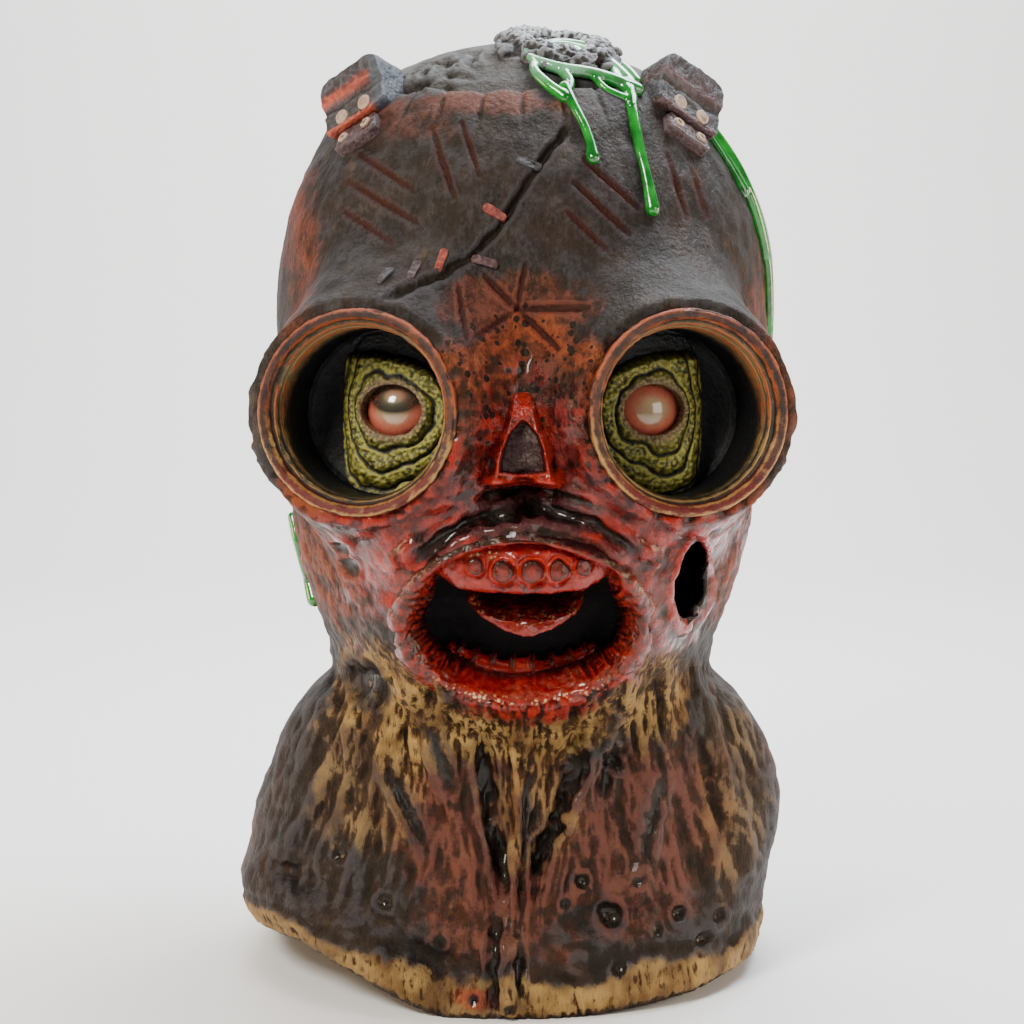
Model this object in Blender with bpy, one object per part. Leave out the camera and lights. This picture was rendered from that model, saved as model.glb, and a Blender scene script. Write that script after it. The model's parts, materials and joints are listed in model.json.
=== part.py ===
# Overhead monster mask: a hollow latex hood with a collar, two eyepiece cups, eyes in scaly
# lids, a nose, an open mouth with gums and a tongue, two riveted strap tabs, a torn crown,
# staples on a forehead seam and runs of slime. Metres, +Z up, the face looks along -Y and
# the origin is the middle of the footprint, on the plane that the collar stands on.

import math

import bmesh
import bpy
import numpy as np
from mathutils import Matrix, Vector
from mathutils.bvhtree import BVHTree

# Driving sizes of the hood.
MASK_HEIGHT = 0.404
HEAD_WIDTH = 0.212
FACE_DEPTH = 0.116
BACK_DEPTH = 0.122
LATEX_WALL = 0.003
SEAT_GAP = 0.0003
HOOD_COLUMNS = 42
HOOD_ROWS = 26
FRONT_CROWDING = 0.42
FRONT_REACH = 1.35
PROBE_STEP = 0.003
STEEPEST_OFFSET = 0.45
DOME_START = 0.80
DOME_BLEND = 0.10
SHARP_ANGLE = math.radians(50)
FACE_FADE = 0.35
RIM_FADE = 0.16
FACE_PROBES = 541
CROWN_PROBES = 200
ROD_END = 0.7

# Eyepiece cups, turned about their own axes, and the hills of the hood that hold them.
CUP_RADIUS = 0.0402
CUP_BACK_RADIUS = 0.0365
CUP_DEPTH = 0.046
CUP_WALL = 0.0028
CUP_RIM_WIDTH = 0.0046
CUP_STEP = 0.0045
CUP_STEP_WIDTH = 0.0014
CUP_ROUND = 0.0010
CUP_SPACING = 0.129
CUP_HEIGHT = 0.6238 * MASK_HEIGHT
CUP_FRONT = FACE_DEPTH + 0.011
CUP_OUTWARD_TURN = math.radians(14)
CUP_UPWARD_TILT = math.radians(4)
CUP_PROUD = 0.003
CUP_SIDES = 24
HILL_BORDER = 0.0038
HILL_SLOPE = 1.7
HILL_BLEND = 0.026
HILL_FACING = 0.3

# Eyes and the scaly lids round them. The rows of the lids' section run from the opening over
# the folds to the pad's edge. Columns: share of the way out, and lift as a share of the
# lids' crest above the pad's edge.
EYE_RADIUS = 0.0145
EYE_SUNK = 0.002
EYE_SIDES = 16
EYE_TOWARDS_NOSE = 0.0052
EYE_ABOVE_AXIS = 0.0010
LID_HALF_WIDTH = 0.0126
LID_HALF_HEIGHT = 0.0102
LID_THICKNESS = 0.0012
LID_PAD_EDGE = 0.0035
LID_PAD_CUT = 0.0225
LID_COLUMNS = 20
LID_HOLLOW = 0.7
LID_FOLD_ROWS = (
    (0.00, 0.88),
    (0.15, 1.00),
    (0.36, 0.62),
    (0.54, 0.80),
    (0.78, 0.42),
    (1.00, 0.12),
)

# Mouth: lips round an oval, a bowl behind them, gums and a tongue.
MOUTH_HALF_WIDTH = 0.0455
MOUTH_HALF_HEIGHT = 0.0315
MOUTH_HEIGHT = 0.4134 * MASK_HEIGHT
MUZZLE_BULGE = 0.015
MUZZLE_LEVEL = 0.75
MUZZLE_FADE = 0.80
LIP_COLUMNS = 32
LIP_SIDES = 8
LIP_HALF_THICKNESS = 0.0070
LIP_HALF_DEPTH = 0.0085
LIP_PROUD = 0.0060
BOWL_DEPTH = 0.034
BOWL_WALL = 0.0022
BOWL_LEVELS = 4
BOWL_COLUMNS = 22
GUM_SEAT = 0.90
GUM_STATIONS = 11
GUM_SIDES = 8
GUM_TAPER = 0.35
UPPER_GUM_SPREAD = 40
UPPER_GUM_LEAN = math.radians(8)
UPPER_GUM_HALF_DEPTH = 0.0052
UPPER_GUM_HALF_HEIGHT = 0.0050
SOCKET_RADIUS = 0.0038
SOCKET_SPACING = 0.0098
SOCKET_COUNT = 5
SOCKET_SIDES = 6
SOCKET_SHRINK = 0.09
SOCKET_DROP = 0.35
LOWER_GUM_SPREAD = 56
LOWER_GUM_LEAN = math.radians(20)
LOWER_GUM_RADIUS = 0.0050
TOOTH_RISE = 0.0030
TOOTH_RADIUS = 0.0024
TOOTH_COUNT = 9
TOOTH_SIDES = 5
TOOTH_TIP = 0.7
TOOTH_SHORT = 0.75
TONGUE_HALF_WIDTH = 0.0225
TONGUE_THICKNESS = 0.0060
TONGUE_LENGTH = 0.0240
TONGUE_HEIGHT = MOUTH_HEIGHT + 0.0140
TONGUE_DROP = 0.0130
TONGUE_HOLLOW = 0.0030
TONGUE_SHIFT = 0.0015
TONGUE_COLUMNS = 9
TONGUE_ROWS = 6
TONGUE_TAPER_START = 0.26
TONGUE_TIP = 0.06
TONGUE_TIP_ROUND = 0.18
TONGUE_ROOT_HOLLOW = 0.4
TONGUE_EDGE = 0.55

# Nose.
NOSE_TOP = 0.6361 * MASK_HEIGHT
NOSE_HEIGHT = 0.0330
NOSE_HALF_WIDTH = 0.0172
NOSE_PROUD = 0.0150
NOSE_RIM = 0.0038
NOSE_RECESS = 0.0045
NOSE_LEVELS = 6
NOSE_SIDES = 12
NOSE_APEX_PROUD = 0.35
NOSE_APEX_WIDTH = 0.28
NOSE_SQUARE = 0.7
NOSE_ARCH_STEPS = 6

# Strap tabs, their feet, rivets and eyelets.
TAB_WIDTH = 0.0330
TAB_LENGTH = 0.0270
TAB_THICKNESS = 0.0048
TAB_SEAT = 0.0110
TAB_CORNER = 0.0030
TAB_HEIGHT = 0.9233 * MASK_HEIGHT
TAB_BEARING = math.radians(56)
TAB_TURN = math.radians(38)
TAB_FLARE = math.radians(24)
TAB_LIFT = 0.0035
TAB_FOOT_LENGTH = 0.0110
TAB_FOOT_WIDTH = 0.0220
TAB_FOOT_RISE = 0.0014
RIVET_RADIUS = 0.0033
RIVET_RISE = 0.0015
RIVET_INSET = 0.0055
RIVET_SPACING = 0.0125
RIVET_SIDES = 10
EYELET_RADIUS = 0.0024
EYELET_BORE = 0.0011
EYELET_RISE = 0.0012
EYELET_ROUND = 0.4

# Seam staples, crown tear, slime and the cheek's slit.
STAPLE_LENGTH = 0.0100
STAPLE_WIDTH = 0.0030
STAPLE_RISE = 0.0016
CROWN_START = 0.85
CRUST_ACROSS = 0.0150
CRUST_FORWARD = 0.0360
CRUST_INNER = 0.0130
CRUST_WIDTH = 0.0135
CRUST_RISE = 0.0060
CRUST_COLUMNS = 22
CRUST_WIDTH_BEAT = 1.3
CRUST_RISE_BEAT = 4.1
POOL_COLUMNS = 20
POOL_BEAT = 2.6
SLIME_RADIUS = 0.0028
RUN_SIDES = 6
RUN_FLATNESS = 0.8
GASH_ACROSS = 0.322
GASH_UP = 0.452
GASH_TURN = math.radians(-4)
GASH_HALF_WIDTH = 0.0075
GASH_HALF_HEIGHT = 0.0175
GASH_CORNERS = 12
GASH_TEAR = 0.35

# One row for each level section of the hood, from the rim to the crown. Columns: height as a
# share of MASK_HEIGHT, half width as a share of half HEAD_WIDTH, depth in front as a share of
# FACE_DEPTH, depth behind as a share of BACK_DEPTH, fullness (2 is an ellipse), and how far
# the section slumps towards +X as a share of HEAD_WIDTH.
SECTION_ROWS = (
    (0.000, 1.040, 0.860, 0.860, 2.30, -0.030),
    (0.030, 1.085, 0.835, 0.865, 2.30, -0.038),
    (0.075, 1.105, 0.770, 0.850, 2.30, -0.036),
    (0.125, 1.105, 0.700, 0.820, 2.25, -0.020),
    (0.180, 1.095, 0.650, 0.790, 2.20, -0.004),
    (0.230, 1.045, 0.640, 0.740, 2.20, 0.000),
    (0.284, 0.920, 0.680, 0.685, 2.20, 0.000),
    (0.321, 0.790, 0.740, 0.665, 2.15, 0.000),
    (0.354, 0.800, 0.820, 0.690, 2.15, 0.000),
    (0.396, 0.850, 0.900, 0.735, 2.15, 0.000),
    (0.438, 0.900, 0.950, 0.780, 2.15, 0.000),
    (0.490, 0.940, 0.985, 0.845, 2.15, 0.000),
    (0.557, 0.965, 1.000, 0.920, 2.15, 0.000),
    (0.630, 0.988, 0.990, 0.975, 2.15, 0.000),
    (0.705, 1.000, 0.960, 1.000, 2.15, 0.000),
    (0.772, 0.985, 0.925, 1.000, 2.15, 0.000),
    (0.832, 0.925, 0.865, 0.965, 2.12, 0.000),
    (0.881, 0.832, 0.785, 0.893, 2.10, 0.000),
    (0.921, 0.728, 0.690, 0.787, 2.08, 0.000),
    (0.955, 0.592, 0.570, 0.640, 2.05, 0.000),
    (0.980, 0.418, 0.410, 0.450, 2.02, 0.000),
    (0.995, 0.205, 0.205, 0.220, 2.00, 0.000),
    (1.000, 0.000, 0.000, 0.000, 2.00, 0.000),
)

# Height of the rim above the floor by bearing. Columns: bearing in degrees from the face
# towards +X, height as a share of MASK_HEIGHT.
RIM_ROWS = (
    (-180, 0.000),
    (-118, 0.000),
    (-95, 0.022),
    (-74, 0.046),
    (-52, 0.054),
    (-36, 0.034),
    (-22, 0.010),
    (-14, 0.000),
    (12, 0.000),
    (32, 0.006),
    (55, 0.012),
    (80, 0.014),
    (100, 0.008),
    (122, 0.000),
    (180, 0.000),
)

# Folds of the face, neck and collar. Columns: start x and z, end x and z, half width and
# rise. x and the half width are shares of HEAD_WIDTH, z of MASK_HEIGHT and the rise of
# LATEX_WALL; a negative rise is a groove.
FOLD_ROWS = (
    (-0.150, 0.512, 0.000, 0.545, 0.050, -2.0),
    (0.000, 0.545, 0.160, 0.512, 0.050, -2.0),
    (-0.080, 0.545, -0.215, 0.480, 0.036, 1.1),
    (0.085, 0.545, 0.230, 0.480, 0.036, 1.2),
    (-0.200, 0.330, -0.030, 0.060, 0.048, 1.6),
    (0.190, 0.330, 0.020, 0.070, 0.050, 1.5),
    (-0.080, 0.285, -0.020, 0.130, 0.034, -1.6),
    (0.105, 0.285, 0.035, 0.130, 0.034, -1.6),
    (0.000, 0.290, 0.002, 0.010, 0.030, 1.0),
    (0.270, 0.330, 0.250, 0.110, 0.046, 1.2),
    (0.340, 0.320, 0.470, 0.120, 0.040, 1.0),
    (-0.290, 0.320, -0.215, 0.140, 0.046, 1.2),
    (-0.390, 0.310, -0.470, 0.130, 0.040, 0.9),
    (-0.460, 0.110, -0.120, 0.045, 0.050, -1.3),
    (0.140, 0.095, 0.420, 0.085, 0.046, -1.1),
)

# Staples across the forehead seam. Columns: x as a share of HEAD_WIDTH, z as a share of
# MASK_HEIGHT, and turn in degrees from level.
STAPLE_ROWS = (
    (0.012, 0.860, -22),
    (-0.052, 0.813, -30),
    (-0.070, 0.766, -16),
    (-0.150, 0.767, 74),
    (-0.200, 0.757, 72),
    (-0.252, 0.752, 68),
)

# Section of the torn ring from its inner foot over its crest to its outer foot. Columns: share
# of its width outwards, and rise as a share of CRUST_RISE.
CRUST_SECTION_ROWS = (
    (0.00, -1.00),
    (0.05, 0.60),
    (0.35, 1.00),
    (0.70, 0.85),
    (1.00, 0.30),
    (0.98, -1.00),
)

# Lumps that run round the torn ring. Columns: waves round the ring, share, and how many times
# the beat shifts them.
LUMP_ROWS = (
    (3, 0.16, 1.0),
    (5, 0.12, 2.1),
    (9, 0.07, 0.7),
)

# Section of the slime pool from its foot to its top. Columns: share of its reach, and rise as a
# share of SLIME_RADIUS.
POOL_SECTION_ROWS = (
    (1.00, -1.00),
    (1.00, 0.35),
    (0.80, 0.80),
    (0.45, 0.95),
)

# Section of a rivet from its foot to its top. Columns: share of RIVET_RADIUS, and rise as a
# share of RIVET_RISE.
RIVET_SECTION_ROWS = (
    (1.00, 0.00),
    (1.00, 0.40),
    (0.72, 0.85),
    (0.35, 1.00),
)

# Slime runs down the crown. Columns for each point: x as a share of HEAD_WIDTH, z as a share
# of MASK_HEIGHT, and thickness as a share of SLIME_RADIUS.
DRIP_LEFT_ROWS = (
    (0.084, 0.930, 1.2),
    (0.100, 0.916, 1.0),
    (0.116, 0.900, 0.9),
    (0.126, 0.884, 0.9),
    (0.131, 0.868, 1.2),
)
DRIP_RIGHT_ROWS = (
    (0.204, 0.925, 1.3),
    (0.212, 0.900, 1.0),
    (0.222, 0.872, 0.9),
    (0.234, 0.843, 0.9),
    (0.242, 0.815, 1.3),
)
# Slime runs down the sides. Columns: bearing in degrees, z as a share of MASK_HEIGHT, and
# thickness as a share of SLIME_RADIUS.
SIDE_RUN_ROWS = (
    (76, 0.900, 1.4),
    (77, 0.850, 1.8),
    (79, 0.795, 1.5),
    (82, 0.735, 1.3),
    (84, 0.675, 1.1),
    (85, 0.620, 1.5),
)
CHEEK_RUN_ROWS = (
    (-80, 0.490, 1.0),
    (-84, 0.462, 1.4),
    (-82, 0.430, 1.2),
    (-79, 0.400, 1.5),
)


def eased(share):
    """Smooth step from 0 to 1."""
    share = np.clip(share, 0.0, 1.0)
    return share * share * (3.0 - 2.0 * share)


def dense_sections(steps=600):
    """The section table read at many even stations with a smooth curve through its rows."""
    rows = np.array(SECTION_ROWS)
    sizes = np.array([MASK_HEIGHT, HEAD_WIDTH / 2, FACE_DEPTH, BACK_DEPTH, 1.0, HEAD_WIDTH])
    rows = rows * sizes
    run = np.sqrt((np.diff(rows[:, :3], axis=0) ** 2).sum(1))
    station = np.concatenate([[0.0], np.cumsum(run)])
    slopes = np.gradient(rows, station, axis=0)
    at = np.linspace(0.0, station[-1], steps)
    low = np.clip(np.searchsorted(station, at, side="right") - 1, 0, len(rows) - 2)
    width = (station[low + 1] - station[low])[:, None]
    t = ((at - station[low])[:, None]) / width
    start, end = rows[low], rows[low + 1]
    out, into = slopes[low] * width, slopes[low + 1] * width
    curve = (2 * t**3 - 3 * t**2 + 1) * start + (t**3 - 2 * t**2 + t) * out
    curve += (3 * t**2 - 2 * t**3) * end + (t**3 - t**2) * into
    curve[:, 1:4] = np.maximum(curve[:, 1:4], 0.0)
    return at / station[-1], curve


STATIONS, SECTIONS = dense_sections()


def section_at(height, column):
    """A column of the section table at a height, as a size or a fullness."""
    heights = np.maximum.accumulate(SECTIONS[:, 0])
    return np.interp(height, heights, SECTIONS[:, column])


def cup_axis(side):
    """Outward direction of an eyepiece; side is -1 for the left of the face, 1 for the right."""
    level = math.cos(CUP_UPWARD_TILT)
    return np.array(
        [
            side * math.sin(CUP_OUTWARD_TURN) * level,
            -math.cos(CUP_OUTWARD_TURN) * level,
            math.sin(CUP_UPWARD_TILT),
        ]
    )


def cup_centre(side):
    """Middle of an eyepiece's front rim."""
    return np.array([side * CUP_SPACING / 2, -CUP_FRONT, CUP_HEIGHT])


def hill_radius(bearing, height, side):
    """How far out the hood is drawn to meet an eyepiece, along a level ray from the axis."""
    axis = cup_axis(side)
    centre = cup_centre(side) - axis * CUP_PROUD
    ray = np.stack([np.sin(bearing), -np.cos(bearing), np.zeros_like(bearing)], -1)
    facing = ray @ axis
    start = np.stack([np.zeros_like(height), np.zeros_like(height), height], -1)
    reach = ((centre - start) @ axis) / np.maximum(facing, HILL_FACING)
    off_axis = np.linalg.norm(start + ray * reach[..., None] - centre, axis=-1)
    beyond = np.maximum(off_axis - (CUP_RADIUS + HILL_BORDER), 0.0)
    return np.where(facing > HILL_FACING, reach - HILL_SLOPE * beyond, 0.0)


def blended_max(first, second, width):
    """The larger of two radii, rounded over where they are within a width of each other."""
    share = np.clip(0.5 + 0.5 * (first - second) / width, 0.0, 1.0)
    return second + (first - second) * share + width * share * (1.0 - share)


def fold_relief(x, z):
    """Rise of the folds at a place in the front view."""
    relief = np.zeros_like(x)
    for x0, z0, x1, z1, half, rise in FOLD_ROWS:
        start = np.array([x0 * HEAD_WIDTH, z0 * MASK_HEIGHT])
        run = np.array([x1 * HEAD_WIDTH, z1 * MASK_HEIGHT]) - start
        along = ((x - start[0]) * run[0] + (z - start[1]) * run[1]) / (run @ run)
        near = np.clip(along, 0.0, 1.0)
        away = np.hypot(x - start[0] - near * run[0], z - start[1] - near * run[1])
        relief += rise * LATEX_WALL * eased(1.0 - away / (half * HEAD_WIDTH))
    return relief


def muzzle_relief(x, z):
    """Rise of the muzzle round the mouth, level inside the lips and fading outside them."""
    lip_x = MOUTH_HALF_WIDTH + LIP_HALF_THICKNESS
    lip_z = MOUTH_HALF_HEIGHT + LIP_HALF_THICKNESS
    oval = np.hypot(x / lip_x, (z - MOUTH_HEIGHT) / lip_z)
    return MUZZLE_BULGE * eased(1.0 - (oval - MUZZLE_LEVEL) / MUZZLE_FADE)


def hood_radius(bearing, height):
    """Distance from the upright axis to the hood's outer face."""
    half, front, back, fullness = (section_at(height, column) for column in (1, 2, 3, 4))
    depth = np.where(np.cos(bearing) > 0, front, back)
    across = np.abs(np.sin(bearing)) / np.maximum(half, 1e-6)
    along = np.abs(np.cos(bearing)) / np.maximum(depth, 1e-6)
    radius = (across**fullness + along**fullness) ** (-1.0 / fullness)
    for side in (-1, 1):
        radius = blended_max(radius, hill_radius(bearing, height, side), HILL_BLEND)
    x = radius * np.sin(bearing)
    in_front = eased(np.cos(bearing) / FACE_FADE)
    return radius + in_front * (fold_relief(x, height) + muzzle_relief(x, height))


def rim_lift(bearing, height):
    """How far the wavy rim lifts a point; it fades out up the collar."""
    rows = np.array(RIM_ROWS)
    lift = np.interp(np.degrees(bearing), rows[:, 0], rows[:, 1]) * MASK_HEIGHT
    return lift * eased(1.0 - height / (RIM_FADE * MASK_HEIGHT))


def hood_points(offset=0.0):
    """Rows of points on the hood, moved in or out by an offset, and the crown point. The
    sides move level, by as much as keeps the wall even, and the dome along its normals."""
    turn = np.linspace(-1.0, 1.0, HOOD_COLUMNS, endpoint=False)
    bearing = math.pi * turn - FRONT_CROWDING * np.sin(math.pi * turn)
    rise = np.linspace(0.0, 1.0, HOOD_ROWS, endpoint=False)
    height = np.interp(rise, STATIONS, SECTIONS[:, 0])
    bearing, height = np.meshgrid(bearing, height)
    level = np.stack([np.sin(bearing), -np.cos(bearing), np.zeros_like(bearing)], -1)
    points = level * hood_radius(bearing, height)[..., None]
    points[..., 0] += section_at(height, 5)
    points[..., 2] = height + rim_lift(bearing, height)
    normals = np.cross(
        np.roll(points, -1, axis=1) - np.roll(points, 1, axis=1), np.gradient(points, axis=0)
    )
    normals /= np.linalg.norm(normals, axis=-1, keepdims=True)
    domed = eased((height / MASK_HEIGHT - DOME_START) / DOME_BLEND)[..., None]
    ways = level + (normals - level) * domed
    ways /= np.linalg.norm(ways, axis=-1, keepdims=True)
    facing = np.maximum((ways * normals).sum(-1, keepdims=True), STEEPEST_OFFSET)
    crown = np.array([0.0, 0.0, MASK_HEIGHT + offset])
    return points + ways * offset / facing, crown


def add_object(name, points, faces, material):
    """A mesh object from points and faces, facing outwards and shaded smooth but for sharp
    edges. Without a material it is a cutter, shown as wire and never rendered."""
    mesh = bpy.data.meshes.new(name)
    mesh.from_pydata([tuple(p) for p in points], [], faces)
    body = bmesh.new()
    body.from_mesh(mesh)
    bmesh.ops.recalc_face_normals(body, faces=body.faces)
    body.to_mesh(mesh)
    body.free()
    mesh.shade_smooth()
    mesh.set_sharp_from_angle(angle=SHARP_ANGLE)
    thing = bpy.data.objects.new(name, mesh)
    bpy.context.scene.collection.objects.link(thing)
    if material is None:
        thing.hide_render = True
        thing.display_type = "WIRE"
    else:
        mesh.materials.append(material)
    return thing


def paint(name, colour, roughness, metallic=0.0):
    """A Principled BSDF material."""
    material = bpy.data.materials.new(name)
    material.use_nodes = True
    shader = material.node_tree.nodes["Principled BSDF"]
    shader.inputs["Base Color"].default_value = (*colour, 1.0)
    shader.inputs["Roughness"].default_value = roughness
    shader.inputs["Metallic"].default_value = metallic
    return material


def combine(thing, other, operation="DIFFERENCE"):
    """Takes a cutter out of a piece, joins it on or keeps what lies inside it."""
    modifier = thing.modifiers.new(operation.lower() + " " + other.name, "BOOLEAN")
    modifier.operation = operation
    modifier.object = other


def ring_faces(first, second, count):
    """Quads between two rings of points, given by the index of each ring's first point."""
    return [
        (first + i, first + (i + 1) % count, second + (i + 1) % count, second + i)
        for i in range(count)
    ]


def split_faces(quads):
    """Each quad as two triangles over the same diagonal, so that two layers stay parallel."""
    return [half for a, b, c, d in quads for half in ((a, b, c), (a, c, d))]


def fan_faces(first, middle, count):
    """Triangles from a ring of points to one point in its middle."""
    return [(first + i, first + (i + 1) % count, middle) for i in range(count)]


def stack(name, rings, low_point, high_point, material):
    """A solid through rings of points, closed by a point at each end."""
    count = len(rings[0])
    points = [p for ring in rings for p in ring] + [low_point, high_point]
    faces = []
    for level in range(len(rings) - 1):
        faces += ring_faces(level * count, (level + 1) * count, count)
    faces += fan_faces(0, len(points) - 2, count)
    faces += fan_faces((len(rings) - 1) * count, len(points) - 1, count)
    return add_object(name, points, faces, material)


def lathe(name, profile, sides, frame, material):
    """A solid turned about the frame's +Z from (radius, height) points between two heights."""
    turns = [2 * math.pi * i / sides for i in range(sides)]
    rings = [
        [(radius * math.cos(t), radius * math.sin(t), height) for t in turns]
        for radius, height in profile
    ]
    low, high = (0.0, 0.0, profile[0][1]), (0.0, 0.0, profile[-1][1])
    thing = stack(name, rings, low, high, material)
    thing.matrix_world = frame
    return thing


def slab(name, outline, low, high, frame, material):
    """A flat piece with a given outline, between two heights of the frame."""
    rings = [[(x, y, height) for x, y in outline] for height in (low, high)]
    thing = stack(name, rings, (0.0, 0.0, low), (0.0, 0.0, high), material)
    thing.matrix_world = frame
    return thing


def rounded_outline(half_width, half_length, corner):
    """Corner points of a rectangle with rounded corners."""
    points = []
    for quarter in range(4):
        middle = math.pi / 4 + quarter * math.pi / 2
        x = math.copysign(half_width - corner, math.cos(middle))
        y = math.copysign(half_length - corner, math.sin(middle))
        for step in range(3):
            angle = quarter * math.pi / 2 + step * math.pi / 4
            points.append((x + corner * math.cos(angle), y + corner * math.sin(angle)))
    return points


def looking_along(place, outward, upward=(0.0, 0.0, 1.0)):
    """A frame at a place with +Z outward and +Y as near upward as it can be."""
    out = Vector(outward).normalized()
    right = Vector(upward).cross(out).normalized()
    up = out.cross(right)
    frame = Matrix((right, up, out)).transposed().to_4x4()
    frame.translation = Vector(place)
    return frame


def hood_point(bearing, z):
    """A point on the hood's outer face by bearing and height."""
    radius = float(hood_radius(np.array([bearing]), np.array([z]))[0])
    return Vector((radius * math.sin(bearing), -radius * math.cos(bearing), z))


def seat_point(bearing, z, seat):
    """A point on the faceted hood, where a piece sits."""
    tree = BVHTree.FromPolygons(
        [v.co for v in seat.data.vertices], [p.vertices for p in seat.data.polygons]
    )
    way = Vector((math.sin(bearing), -math.cos(bearing), 0.0))
    hit = tree.ray_cast(Vector((0.0, 0.0, z)) + way * MASK_HEIGHT, -way)[0]
    return hit - way * SEAT_GAP


def seat_frame(bearing, z, seat, turn=0.0):
    """A frame on the hood with +Z along its normal, turned about that normal."""
    step = PROBE_STEP / HEAD_WIDTH
    across = hood_point(bearing + step, z) - hood_point(bearing - step, z)
    upward = hood_point(bearing, z + PROBE_STEP) - hood_point(bearing, z - PROBE_STEP)
    frame = looking_along(seat_point(bearing, z, seat), across.cross(upward))
    return frame @ Matrix.Rotation(turn, 4, "Z")


def face_depth(x, z):
    """Y of the hood's outer face at a place in the front view."""
    bearing = np.linspace(-FRONT_REACH, FRONT_REACH, FACE_PROBES)
    radius = hood_radius(bearing, np.full_like(bearing, z))
    return float(-np.interp(x, radius * np.sin(bearing), radius * np.cos(bearing)))


def face_bearing(x, z):
    """Bearing of the hood's outer face at a place in the front view."""
    return math.atan2(x, -face_depth(x, z))


def smooth_path(rows, count):
    """Points along a Catmull-Rom curve through rows of numbers."""
    rows = np.array(rows, float)
    ends = np.vstack([2 * rows[0] - rows[1], rows, 2 * rows[-1] - rows[-2]])
    made = []
    for at in np.linspace(0, len(rows) - 1, count):
        i = min(int(at), len(rows) - 2)
        t = at - i
        p0, p1, p2, p3 = ends[i : i + 4]
        bend = 2 * p0 - 5 * p1 + 4 * p2 - p3
        rest = 3 * p1 - p0 - 3 * p2 + p3
        made.append(0.5 * (2 * p1 + (p2 - p0) * t + bend * t * t + rest * t**3))
    return np.array(made)


def swept(name, centres, normals, widths, heights, sides, material):
    """A closed rod through centres with an oval section, drawn in at both ends."""
    count = len(centres)
    rings = []
    for i, centre in enumerate(centres):
        ahead = centres[min(i + 1, count - 1)] - centres[max(i - 1, 0)]
        across = ahead.cross(normals[i]).normalized()
        up = across.cross(ahead).normalized()
        ring = []
        for k in range(sides):
            turn = 2 * math.pi * k / sides
            reach = across * (widths[i] * math.cos(turn))
            ring.append(centre + reach + up * (heights[i] * math.sin(turn)))
        rings.append(ring)
    first = centres[0] + (centres[0] - centres[1]).normalized() * (heights[0] * ROD_END)
    last = centres[-1] + (centres[-1] - centres[-2]).normalized() * (heights[-1] * ROD_END)
    return stack(name, rings, first, last, material)


def make_hood(material):
    """The latex skin: outer and inner faces joined at the rim, with the crown closed."""
    outer, crown = hood_points()
    inner, inner_crown = hood_points(-LATEX_WALL)
    size = HOOD_ROWS * HOOD_COLUMNS
    points = [*outer.reshape(-1, 3), crown, *inner.reshape(-1, 3), inner_crown]
    faces = ring_faces(0, size + 1, HOOD_COLUMNS)
    for start in (0, size + 1):
        for row in range(HOOD_ROWS - 1):
            low = start + row * HOOD_COLUMNS
            faces += split_faces(ring_faces(low, low + HOOD_COLUMNS, HOOD_COLUMNS))
        faces += fan_faces(start + size - HOOD_COLUMNS, start + size, HOOD_COLUMNS)
    return add_object("hood", points, faces, material)


def make_seat_cutter():
    """The hood's outer form grown by the seat gap, as one solid that pieces are cut with."""
    outer, crown = hood_points(SEAT_GAP)
    size = HOOD_ROWS * HOOD_COLUMNS
    floor = (0.0, 0.0, float(outer[0, :, 2].min()))
    faces = fan_faces(0, size, HOOD_COLUMNS)
    for row in range(HOOD_ROWS - 1):
        low = row * HOOD_COLUMNS
        faces += split_faces(ring_faces(low, low + HOOD_COLUMNS, HOOD_COLUMNS))
    faces += fan_faces(size - HOOD_COLUMNS, size + 1, HOOD_COLUMNS)
    return add_object("seat_cutter", [*outer.reshape(-1, 3), floor, crown], faces, None)


def cup_axis_frame(side):
    """The frame of an eyepiece: origin in the middle of its rim, +Z out of the face."""
    return looking_along(cup_centre(side), cup_axis(side))


def cup_taper(depth, grow=0.0):
    """Outer radius of an eyepiece at a depth behind its rim."""
    return CUP_RADIUS + (CUP_BACK_RADIUS - CUP_RADIUS) * depth / CUP_DEPTH + grow


def make_cup(side, name, material):
    """An eyepiece: a tapered cup with a stepped rim, open to the front."""
    inner_rim = CUP_RADIUS - CUP_RIM_WIDTH
    inner_floor = cup_taper(CUP_DEPTH) - CUP_WALL
    floor = CUP_DEPTH - CUP_WALL
    profile = (
        (cup_taper(CUP_DEPTH), -CUP_DEPTH),
        (cup_taper(CUP_STEP), -CUP_STEP),
        (CUP_RADIUS, -CUP_ROUND),
        (CUP_RADIUS - CUP_ROUND, 0.0),
        (inner_rim + CUP_ROUND, 0.0),
        (inner_rim, -CUP_ROUND),
        (inner_rim, -CUP_STEP),
        (inner_rim - CUP_STEP_WIDTH, -CUP_STEP),
        (inner_floor, -floor),
    )
    return lathe(name, profile, CUP_SIDES, cup_axis_frame(side), material)


def make_cup_cutter(side, name):
    """The room that an eyepiece takes, grown by the seat gap, out to the front."""
    grow = SEAT_GAP / math.cos(math.pi / CUP_SIDES)
    ahead = CUP_RADIUS
    profile = (
        (cup_taper(CUP_DEPTH, grow), -CUP_DEPTH - grow),
        (cup_taper(0.0, grow), 0.0),
        (cup_taper(0.0, grow), ahead),
    )
    return lathe(name, profile, CUP_SIDES, cup_axis_frame(side), None)


def eye_frame(side):
    """The frame of an eye on its cup's floor: towards the nose and a little up."""
    towards = (-side * EYE_TOWARDS_NOSE, EYE_ABOVE_AXIS, SEAT_GAP - CUP_DEPTH + CUP_WALL)
    return cup_axis_frame(side) @ Matrix.Translation(towards)


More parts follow.
